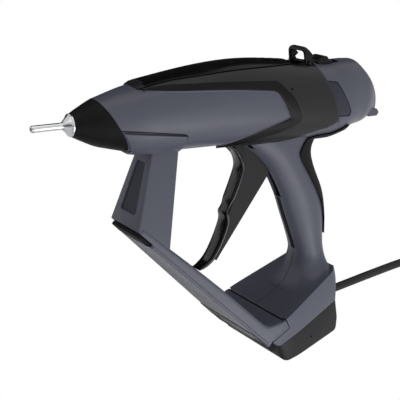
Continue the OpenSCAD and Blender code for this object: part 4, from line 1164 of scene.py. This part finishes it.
class GLUEGUN_OT_stand(bpy.types.Operator):
    """Model the stand: collar, leg and beam, and its feet"""
    bl_idname = "glue_gun.stand"
    bl_label = "Stand"

    def execute(self, context):
        self.frame_body()
        self.recess_painted_shade()
        self.gap_strip()
        self.feet()
        self.underside()
        return {"FINISHED"}

    def frame_body(self):
        stand = beam_body("stand", 2.6)
        cut(stand, leg_body("leg", 0, -112, 1.5), how="UNION")
        rail = beam_strip("rail", evenly(-159, -20, 24), BEAM_LOW, BEAM_LOW + 2.4, 0.9, 42.2, 0.7)
        cut(stand, moved(rail, SURFACE), how="UNION")
        cut(stand, barrel_body("barrel", (-92, 0), (40, 0), FIT, 40, 112))
        cut(stand, self.collar(), how="UNION")
        cut(stand, leg_body("leg_space", sizes().wall, -84, 1.5))
        beds = [region("ground", z=(-FAR, BEAM_LOW)),
                block("foot_bed", (-BEAM_LEN - 40, -BEAM_LEN - 12), (-60, 60), (-5, FLAT + 3.4))]
        beds += [block("pad_bed", (-29.1, -14.9), (y - 7.5, y + 7.5), (0, FLAT + FOOT_T + FIT))
                 for y in (-PAD_MID, PAD_MID)]
        cut(stand, *[moved(bed, SURFACE) for bed in beds])
        cut(stand, moved(region("end", z=(-FAR, 1.3)), BASE @ placed(*CLIP, -SEAM_TURN)))
        outline = [(9.6, 17.5), (13.4, 17.3), (14.5, 9.3), (-3.2, 6.7), (-4.6, 8.2)]
        cut(stand, bevelled(base_sides("tongue", outline, 0.05, 37), 0.35, 2, 40), how="UNION")
        cut(stand, moved(plate("recess", leg_window(0, 3.2), -4, 1.6), LEG_FACE))
        done(stand, "stand_frame", "gun", "housing", "slate", "stand")

    def collar(self):
        """Sleeve around the underside of the barrel, behind the heat guard."""
        thick = 2.2

        def shape(u, v):
            x = -81 + 53 * u
            start = side_angle(x, -4.8 - 6.6 * u)
            angle = start + (3 * pi - 2 * start) * v
            for _ in range(4):
                z = barrel(x, angle, thick).z
                a, b = NOSE_X + GAP - z * NOSE_LEAN, -27.2 + 0.06 * min(z + 11, 0)
                x = a + (b - a) * u
            return barrel(x, angle, FIT + thick)
        sleeve = rolled("collar", 36, 72, shape, wrap=False, fill=False)
        modified(sleeve, "SOLIDIFY", thickness=0.05 - thick, offset=1)
        outwards(sleeve)
        return bevelled(sleeve, 0.5, 2, 50)

    def recess_painted_shade(self):
        # A thin sheet of darkened slate on the floor of the leg's recess: painted shade in the hollow
        tray = plate("tray", leg_window(0.6, 2.8), 1.2, 1.58)
        done(moved(tray, LEG_FACE), "leg_recess_painted_shade", "gun", "housing", "slate_shade")

    def gap_strip(self):
        """Dark line in the joint along the collar's edge."""
        near = [(x, side_angle(x, z)) for x, z in COLLAR_LINE]
        near = skin_line(near + [(COLLAR_REAR, a) for a in evenly(1.25 * pi, 1.5 * pi, 5)], 90)
        edge = near + [(x, 3 * pi - a) for x, a in reversed(near[:-1])]
        section = ((-0.65, 0.02), (-0.65, 0.3), (0.65, 0.3), (0.65, 0.02))
        radius = 25  # of the barrel there, about

        def shape(u, v):
            i = round(u * (len(edge) - 1))
            x, a = edge[i]
            n = Vector(edge[max(i - 1, 0)]) - Vector(edge[min(i + 1, len(edge) - 1)])
            n = Vector((n.y * radius, -n.x / radius)).normalized()
            across, grow = section[round(v * 4) % 4]
            return barrel(x + n.x * across, a + n.y * across / radius, grow)
        done(rolled("gap", len(edge) - 1, 4, shape), "collar_gap_strip", "gun", "soft", "rubber")

    def feet(self):
        front, rear = -BEAM_LEN - 24.4, -BEAM_LEN - 12.2
        sole = rounded([(front, 1 - FOOT_W), (rear, -FOOT_W), (rear, FOOT_W), (front, FOOT_W - 1)], 3)
        pad = bevelled(plate("front", sole, FLAT, FLAT + 3.2), 0.7, 3)
        done(moved(pad, SURFACE), "front_foot_pad", "gun", "soft", "rubber", "front_foot")
        pads = [bevelled(block("rear", (-29, -15), (y - 7.4, y + 7.4), (FLAT, FLAT + FOOT_T)), 0.9, 3)
                for y in (-PAD_MID, PAD_MID)]
        done(moved(cut(*pads, how="UNION"), SURFACE), "rear_foot_pads", "gun", "soft", "rubber", "rear_feet")

    def underside(self):
        """Dark liner under the rear of the beam, which stands for the base cover's fins and for painted shade
        under the beam, and the dark joint at the base.
        """
        liner = beam_strip("liner", evenly(-42, -24, 12), FLAT + 0.05, BEAM_LOW - 0.05, 0.6, 42, 0.15)
        cut(liner, *[block("pad_bed", (-29.3, -10), (y - 7.7, y + 7.7), (0, 9)) for y in (-PAD_MID, PAD_MID)])
        done(moved(liner, SURFACE), "underside_fins_and_painted_shade", "gun", "base", "bevel")
        along = Vector((cos(SEAM_TURN), sin(SEAM_TURN)))
        square = Vector((-along.y, along.x))
        joint = [Vector(LIP) + along * a + square * b for a, b in ((-3, 0.5), (-1, 0.5), (-1, 1.1), (-3, 1.1))]
        done(moved(base_block("joint", joint, 1.8), BASE), "stand_joint_strip", "gun", "soft", "rubber")


class GLUEGUN_OT_base_cover(bpy.types.Operator):
    """Model the black lower cover of the base and the strain relief"""
    bl_idname = "glue_gun.base_cover"
    bl_label = "Base cover"

    GLAND_LOW = 7.5  # of the lead's way out, under the parting line

    def execute(self, context):
        gland = placed(BASE_LEN - self.GLAND_LOW * tan(REAR_LEAN), -self.GLAND_LOW, REAR_LEAN)
        self.cover(gland)
        self.boot(gland)
        return {"FINISHED"}

    def cover(self, gland):
        wall = sizes().wall
        outline = [(0, -0.15), (BASE_LEN, -0.15), (65.2, -15), (60, -24.4), BASE_APEX]
        cover = base_block("cover", rounded(outline, [0, 0, 12, 5, 7], 8), 0, -1, 9)
        bevelled(cover, 1.8, 4, 30, use_clamp_overlap=True)
        outline = [(3, 20), (BASE_LEN, 20), (BASE_LEN, 0), (61.5, -22.5), (6, -16.4), (3, -13)]
        hollow = base_block("space", inset_outline(outline, wall), wall)
        cut(hollow, *[plate("post", ring(u, y, POST_R), -40, 5) for u, y in BASE_SCREWS])
        cut(cover, hollow)
        cut(cover, *[plate("bore", ring(u, y, SCREW_R), -60, 5) for u, y in BASE_SCREWS])
        cut(cover, *[plate("head", ring(u, y, HEAD_R), -60, -10) for u, y in BASE_SCREWS])
        cut(cover, moved(spun("gland_bore", [(-10, 5.9), (10, 5.9)], 40), gland))
        cut(cover, moved(region("ground", z=(-FAR, FLAT)), BASE.inverted() @ SURFACE),
            drum("pin_hole", 33, -12.4, 0.8, -60, 0, 16))
        done(moved(cover, BASE), "base_lower_cover", "gun", "base", "base", "base_cover")

    def boot(self, gland):
        """Strain relief: a flange on each side of the wall, then ribs that taper to the lead."""
        profile = [(-4.8, 0.01), (-4.8, 7.7), (-2.5, 7.7), (-2.5, 5.7), (0.1, 5.7), (0.1, 7.5), (0.4, 7.7),
                   (2, 7.7), (2.4, 7.4)]
        ribs, length = 6, 16.4
        for k in range(ribs):
            x = 3 + length * k / ribs
            r = 7.1 - 2.5 * (x - 2.4) / 18.6
            profile += [(x, r), (x + 1.5, r - 0.2), (x + 1.7, r - 1.0), (x + 2.6, r - 1.1), (x + 2.75, r - 0.4)]
        profile += [(19.6, 4.6), (20.7, 4.5), (21, 4.2), (21, 3.6), (15, 3.6), (15, 0.01)]
        relief = moved(spun("relief", profile, 48), BASE @ gland)
        done(relief, "strain_relief_boot", "gun", "cord", "lead", "strain_relief")


class GLUEGUN_OT_top_fittings(bpy.types.Operator):
    """Model the hanging bail and the power slider"""
    bl_idname = "glue_gun.top_fittings"
    bl_label = "Bail and slider"

    def execute(self, context):
        self.bail()
        self.slider()
        return {"FINISHED"}

    def bail(self):
        half, high, leg, lean = 11.8, 12.4, 3.2, radians(13)  # half width, height, thickness of a leg
        side, top = half - leg / 2, high - leg / 2
        line = rounded([(-side, 0), (-side, top), (side, top), (side, 0)], [0, 4.5, 4.5, 0], 8)
        path = [Vector((0, p.x, p.y)) for p in spaced(line, 72)]
        bail = swept("bail", path, rounded([(-2.2, -1.5), (2.2, -1.5), (2.2, 1.5), (-2.2, 1.5)], 1.1, 4))
        for point in bail.data.vertices:
            up = point.co.z / high
            point.co.x *= 1.35 - 0.6 * up
            if point.co.x > 0:
                point.co.x += 5.4 * min(max((up - 0.18) / 0.12, 0), 1) * max(1 - up, 0) ** 1.2
        for y in (-half, half - leg):
            cut(bail, bevelled(drum("hub", 0, 0, 3, y, y + leg), 0.4, 2), how="UNION")
        cut(bail, drum("bore", 0, 0, 1.55, -20, 20, 24))
        done(moved(bail, placed(*BAIL_PIN, -lean)), "bail_loop", "bail", "fittings", "fittings", "hanging_bail")

    def slider(self):
        x, floor = 112.4, 28.4
        side = spline([(-7.2, 0), (-7.2, 2.2), (-5.6, 4.6), (-3, 6.4), (-0.4, 6.8), (2, 6.1), (3.6, 4.2),
                       (5, 3.1), (7.2, 2.8)], 4)
        outline = [(x + p.x, floor + p.y) for p in side] + [(x + 7.2, floor)]
        slider = bevelled(prism("slider", outline, -6.5, 6.5), 0.9, 3, 50)
        crown = [(-5, 5.6), (-3, 6.9), (0, 7.3), (3, 6.2)]
        for k in range(4):
            at = -4.6 + 1.5 * k
            cut(slider, drum("groove", x + at, floor + blend(crown, at, 1), 0.55, -5.2, 5.2, 12))
        cut(slider, block("stem", (x - 2, x + 2), (-2, 2), (26.4, 29)), how="UNION")
        done(slider, "thumb_slider", "slider", "fittings", "fittings", "power_slider")


# Lead, in millimetres of the standing frame
COIL_AT = (332, -18)
COIL_PITCH, COIL_LOOPS, COIL_IN, COIL_LOW = 7.8, 3, 30, 4.9
COIL_OUT = COIL_IN + COIL_PITCH * COIL_LOOPS
COIL_TURN = 360 * (2 * COIL_LOOPS + 0.75)
COIL_STEP = 15  # degrees
# The way out of the strain relief, and its end
RISE = radians(52.3)
WAY = Vector((cos(RISE), 0, sin(RISE)))
RELIEF_END = Vector((157.462, 0, 77.7147)) + 3 * WAY
# The plug lies on the coil
CORD_R, CORD_GAP, PLUG_HALF, PLUG_TURN = 3.5, 0.4, 7, radians(-110)
PLUG_Z = COIL_LOW + COIL_PITCH + CORD_R + CORD_GAP + PLUG_HALF
CORD_ROUTE = [(172, 0, 96.5), (184, 0, 112), (208, 0, 142), (232, 0, 168), (260, 1, 186), (292, 5, 190),
              (324, 10, 178), (350, 17, 154), (370, 24, 122), (381, 29.4, 88), (385.4, 32, 50.7),
              (385.4, 26.9, 31.7), (385.4, 13, 17.8)]


def round_coil(degrees, out, z):
    """Point at a distance outside the coil."""
    a = radians(degrees)
    return Vector((COIL_AT[0] + (COIL_OUT + out) * cos(a), COIL_AT[1] + (COIL_OUT + out) * sin(a), z))


TAIL_ROUTE = [round_coil(75, 3.1, 6.5), round_coil(58, 4, 11.4), round_coil(40, 0.6, 17.4),
              round_coil(22, -5, 22), round_coil(5, -9.4, PLUG_Z)]
PLUG_AT = round_coil(-8, -11.9, PLUG_Z)


def coil_point(turned):
    """Point of the coil after a turn in degrees: inwards on its upper layer, then outwards on the lower."""
    half = COIL_LOOPS * 360
    if turned < half:
        r = COIL_OUT - COIL_PITCH * turned / 360
    elif turned < half + 90:
        r = COIL_IN - COIL_PITCH * (turned - half) / 360
    elif turned < half + 180:
        r = COIL_IN - COIL_PITCH * (half + 180 - turned) / 360
    else:
        r = COIL_IN + COIL_PITCH * (turned - half - 180) / 360
    drop = min(max((turned - half) / 180, 0), 1)
    a = radians(-turned)
    return Vector((COIL_AT[0] + r * cos(a), COIL_AT[1] + r * sin(a), COIL_LOW + COIL_PITCH * (1 - drop)))


def lead_path():
    """From the strain relief to the coil, round it, and up to the plug."""
    coil = [coil_point(COIL_STEP * i) for i in range(int(COIL_TURN / COIL_STEP) + 1)]
    ahead = (coil[1] - coil[0]).normalized()
    after = (coil[-1] - coil[-2]).normalized()
    rise = [RELIEF_END - 5.5 * WAY, RELIEF_END + 2 * WAY] + CORD_ROUTE + [coil[0] - 12 * ahead, coil[0]]
    tail = [coil[-1], coil[-1] + 7 * after] + TAIL_ROUTE + [PLUG_AT]
    return spline(rise, 4) + coil[1:] + spline(tail, 4)[1:]


class GLUEGUN_OT_lead(bpy.types.Operator):
    """Add the mains lead in its coil, with its plug and tie"""
    bl_idname = "glue_gun.lead"
    bl_label = "Mains lead"

    def execute(self, context):
        path = lead_path()
        shape = bpy.data.curves.new("mains_lead", "CURVE")
        shape.dimensions = "3D"
        shape.bevel_depth = sizes().cord_d / 2
        shape.bevel_resolution = 5
        shape.use_fill_caps = True
        line = shape.splines.new("POLY")
        line.points.add(len(path) - 1)
        for point, place in zip(line.points, path):
            point.co = (*(place * 0.001), 1)
        line.use_smooth = True
        lead = bpy.data.objects.new("mains_lead", shape)
        context.collection.objects.link(lead)
        shape.materials.append(finishes()["lead"])
        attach(lead, "gun")
        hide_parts("cord", "cord_coil", "cord_tail")
        plug = self.plug()
        tie = self.tie()
        length = sum((b - a).length for a, b in zip(path, path[1:])) * 0.001
        path[0] * 0.001
        return {"FINISHED"}

    def plug(self):
        half = [(0, 6.4), (9, 8), (22, 17.5), (36, 17.5)]
        outline = rounded([(x, -y) for x, y in half] + half[::-1], [1, 8, 8, 2, 2, 8, 8, 1], 6)
        body = bevelled(plate("plug", outline, -PLUG_HALF, PLUG_HALF), 2.2, 4, 50)
        for s in (-1, 1):
            cut(body, *[block("rib", (x, x + 1.1), (s * 12 - 14, s * 12 + 14), (s * 6.5 - 0.6, s * 6.5 + 0.6))
                        for x in (14, 17, 20)])
        cut(body, *[moved(spun("bore", [(24, 2.65), (41, 2.65)], 32), Matrix.Translation((0, y, 0)))
                    for y in (-9.3, 9.3)])
        place = MM @ Matrix.Translation(PLUG_AT) @ Matrix.Rotation(PLUG_TURN, 4, "Z")
        return done(body, "mains_plug", "gun", "cord", "lead", "plug", place=place)

    def tie(self):
        inner, outer, top = COIL_IN - COIL_PITCH / 4 - 4, COIL_OUT + 4, COIL_LOW + COIL_PITCH + 3.9
        outline = [(inner - 1, 0), (outer + 1, 0), (outer + 1, top + 1), (inner - 1, top + 1)]
        band = bevelled(prism("tie", rounded(outline, 3, 6), -5, 5), 0.3, 2, 60)
        outline = [(inner, 1), (outer, 1), (outer, top), (inner, top)]
        cut(band, prism("inside", rounded(outline, 2.2, 6), -9, 9))
        place = MM @ Matrix.Translation((*COIL_AT, 0)) @ Matrix.Rotation(radians(255), 4, "Z")
        return done(band, "lead_tie", "gun", "fittings", "rubber", "coil_tie", place=place)


SCREW_LEN = 17


def screw():
    """A cross-head screw that points along -Z, with its seat at the origin."""
    profile = [(-SCREW_LEN, 0.01), (-SCREW_LEN, 1.2), (1 - SCREW_LEN, 1.65), (0, 1.65), (0, 3), (0.9, 3),
               (1.7, 2.7), (2.2, 1.9), (2.3, 0.01)]
    body = moved(spun("screw", profile, 32), Matrix.Rotation(-pi / 2, 4, "Y"))
    for wide, deep in ((0.45, 2.0), (2.0, 0.45)):
        cut(body, block("cross", (-wide, wide), (-deep, deep), (1.1, 5)))
    return body


class GLUEGUN_OT_screws(bpy.types.Operator):
    """Model the screws of the housing and of the base"""
    bl_idname = "glue_gun.screws"
    bl_label = "Screws"

    def execute(self, context):
        side, under = Matrix.Rotation(-pi / 2, 4, "X"), Matrix.Rotation(pi, 4, "X")
        places = [Matrix.Translation((x, 9.1, z)) @ side for x, z in HOUSING_SCREWS]
        self.screw_set("housing_screw_set", "housing_screws", places)
        places = [BASE @ Matrix.Translation((u, y, -10.1)) @ under for u, y in BASE_SCREWS]
        self.screw_set("base_screw_set", "base_screws", places)
        return {"FINISHED"}

    def screw_set(self, name, node, places):
        screws = cut(*[moved(screw(), place) for place in places], how="UNION")
        done(screws, name, "gun", "steel", "zinc", node)


class GLUEGUN_OT_kept_parts(bpy.types.Operator):
    """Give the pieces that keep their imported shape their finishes"""
    bl_idname = "glue_gun.kept_parts"
    bl_label = "Kept parts"

    FINISH_OF = {
        "valve_ball": "steel", "valve_spring": "zinc", "melt_chamber": "aluminium",
        "heater_cartridges": "zinc", "temperature_sensor": "brass", "heat_shield": "zinc",
        "front_spacer": "ceramic", "rear_spacer": "ceramic", "inlet_sleeve": "silicone", "stick_guide": "zinc",
        "guide_bracket": "charcoal", "feed_carriage": "brass", "clamp_jaw": "zinc", "jaw_pin": "steel",
        "return_spring": "zinc", "trigger": "trigger", "trigger_pin": "steel", "circuit_board": "board",
        "board_parts": "charcoal", "terminal_block": "terminal", "heater_lead": "silicone",
        "switch_body": "charcoal", "bail_pin": "fittings", "plug_pins": "steel",
    }

    def execute(self, context):
        for node, finish in self.FINISH_OF.items():
            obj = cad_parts[node]
            obj.data.materials.clear()
            obj.data.materials.append(finishes()[finish])
        return {"FINISHED"}


# Camera of the photograph: its place in metres, its right-hand direction and the direction to its back
CAMERA_AT = (-0.48686, -0.70077, -0.07350)
CAMERA_RIGHT, CAMERA_BACK = Vector((0.60303, -0.52430, 0.60122)), Vector((-0.55794, -0.81587, -0.15188))
# Lamps and dark cards along the camera's axes: name, place and size in metres, and a lamp's share of the power
TARGET = Vector((0.02, 0, 0.1))
LAMPS = [("key", (0.41, -0.42, 0.34), 0.45, 0.5), ("top", (-0.1, 1.1, 0.35), 0.9, 0.6),
         ("low", (-0.1, -0.9, 0.8), 0.9, 0.95), ("left", (-1.0, 0.3, 0.5), 0.7, 0.3)]
FLAGS = [("flag_behind", (-0.1, 0.7, -1.1), 2.2), ("flag_over", (-0.35, 1.5, -0.2), 1.6),
         ("flag_left", (-1.5, -0.1, 0.1), 1.2), ("flag_front", (-0.25, 0.1, 1.6), 0.8),
         ("flag_nozzle", (-0.9, -0.2, 1.6), 0.8), ("flag_low", (-0.2, -1.5, 0.2), 1.3)]


class GLUEGUN_OT_stage(bpy.types.Operator):
    """Add the camera, the floor, the lamps and the pale surroundings"""
    bl_idname = "glue_gun.stage"
    bl_label = "Stage"

    def execute(self, context):
        scene = context.scene
        up = CAMERA_BACK.cross(CAMERA_RIGHT).normalized()
        turn = Matrix((CAMERA_RIGHT, up, CAMERA_BACK)).transposed()
        deselect()
        bpy.ops.object.camera_add()
        camera = context.object
        camera.matrix_world = Matrix.Translation(CAMERA_AT) @ turn.to_4x4()
        camera.data.lens = sizes().lens
        camera.data.sensor_width = 36
        scene.camera = camera
        scene.view_settings.view_transform = "Standard"
        for name, place, size, share in LAMPS:
            deselect()
            bpy.ops.object.light_add(type="AREA", location=TARGET + turn @ Vector(place))
            lamp = context.object
            lamp.name = name
            lamp.data.size = size
            lamp.data.energy = sizes().lamp * share
            lamp.rotation_euler = (turn @ Vector(place)).to_track_quat("Z", "Y").to_euler()
        self.surroundings(scene)
        self.floor()
        self.flags(turn)
        return {"FINISHED"}

    def surroundings(self, scene):
        """Pale world that lights the gun softly, and is white where it is seen."""
        world = scene.world or bpy.data.worlds.new("surroundings")
        scene.world = world
        world.use_nodes = True
        tree = world.node_tree
        tree.nodes.clear()
        path = tree.nodes.new("ShaderNodeLightPath")
        seen = path.outputs["Is Camera Ray"]
        for name in ("Is Glossy Ray", "Is Transmission Ray"):
            both = tree.nodes.new("ShaderNodeMath")
            both.operation = "MAXIMUM"
            tree.links.new(seen, both.inputs[0])
            tree.links.new(path.outputs[name], both.inputs[1])
            seen = both.outputs[0]
        light, white = tree.nodes.new("ShaderNodeBackground"), tree.nodes.new("ShaderNodeBackground")
        light.inputs["Color"].default_value = (0.95, 0.97, 1, 1)
        light.inputs["Strength"].default_value = 0.28
        white.inputs["Color"].default_value = (1, 1, 1, 1)
        mix, out = tree.nodes.new("ShaderNodeMixShader"), tree.nodes.new("ShaderNodeOutputWorld")
        for i, socket in enumerate((seen, light.outputs[0], white.outputs[0])):
            tree.links.new(socket, mix.inputs[i])
        tree.links.new(mix.outputs[0], out.inputs[0])

    def floor(self):
        """A milky floor that shows from above only, because the photograph's camera looks up from below it."""
        deselect()
        bpy.ops.mesh.primitive_plane_add(size=6, location=(0, 0, -0.0004))
        floor = bpy.context.object
        floor.name = "floor"
        finish = Finish("pale_floor")
        cloud = finish.noise(3, 3)
        c = colours().floor
        seen = finish.node("ShaderNodeLightPath").out("Is Camera Ray")
        finish.set(Base_Color=finish.mix(cloud, shade(c, 0.98), shade(c, 1.01)), Roughness=0.85,
                   Emission_Color=seen * 0.3, Emission_Strength=1.0)
        under = finish.node("ShaderNodeNewGeometry").out("Backfacing")
        clear = finish.node("ShaderNodeBsdfTransparent")
        share = under.math("MAXIMUM", under, (1 - seen) * 0.7)
        both = finish.node("ShaderNodeMixShader", None, {0: share, 1: Socket(finish, finish.shader), 2: clear})
        finish.tree.links.new(both.link, finish.tree.nodes["Material Output"].inputs["Surface"])
        floor.data.materials.append(finish.material)

    def flags(self, turn):
        """Dark cards over and behind the gun, seen only as reflections, which keep its black parts black."""
        finish = Finish("flag_cloth")
        tint = finish.mix(finish.noise(5, 3), (0.01, 0.01, 0.01, 1), (0.02, 0.02, 0.02, 1))
        finish.set(Base_Color=tint, Roughness=0.9)
        for name, place, size in FLAGS:
            deselect()
            bpy.ops.mesh.primitive_plane_add(size=size, location=turn @ Vector(place))
            card = bpy.context.object
            card.name = name
            card.data.transform((turn @ Vector(place)).to_track_quat("Z", "Y").to_matrix().to_4x4())
            card.data.materials.append(finish.material)
            card.visible_camera = card.visible_diffuse = card.visible_transmission = card.visible_shadow = False


class GLUEGUN_PT_pieces(bpy.types.Panel):
    """Sizes, colours and pieces of the glue gun"""
    bl_idname = "GLUEGUN_PT_pieces"
    bl_label = "Glue gun"
    bl_space_type = "VIEW_3D"
    bl_region_type = "UI"
    bl_category = "Glue gun"

    def draw(self, context):
        for group in (sizes(), colours()):
            box = self.layout.box()
            for name in group.__annotations__:
                box.prop(group, name)
        for operator in OPERATORS:
            self.layout.operator(operator.bl_idname)


OPERATORS = (GLUEGUN_OT_stage, GLUEGUN_OT_lead, GLUEGUN_OT_housing, GLUEGUN_OT_side_panels,
             GLUEGUN_OT_top_cover, GLUEGUN_OT_rear_cap, GLUEGUN_OT_nose, GLUEGUN_OT_finger_band,
             GLUEGUN_OT_grip_insert, GLUEGUN_OT_stand, GLUEGUN_OT_base_cover, GLUEGUN_OT_top_fittings,
             GLUEGUN_OT_screws, GLUEGUN_OT_kept_parts)
CLASSES = (GlueGunSizes, GlueGunColours) + OPERATORS + (GLUEGUN_PT_pieces,)


def register():
    for cls in CLASSES:
        bpy.utils.register_class(cls)
    bpy.types.Scene.glue_gun_sizes = bpy.props.PointerProperty(type=GlueGunSizes)
    bpy.types.Scene.glue_gun_colours = bpy.props.PointerProperty(type=GlueGunColours)


def unregister():
    del bpy.types.Scene.glue_gun_sizes
    del bpy.types.Scene.glue_gun_colours
    for cls in reversed(CLASSES):
        bpy.utils.unregister_class(cls)


def main():
    register()
    for operator in OPERATORS:
        group, name = operator.bl_idname.split(".")
        getattr(getattr(bpy.ops, group), name)()


if __name__ == "__main__":
    main()
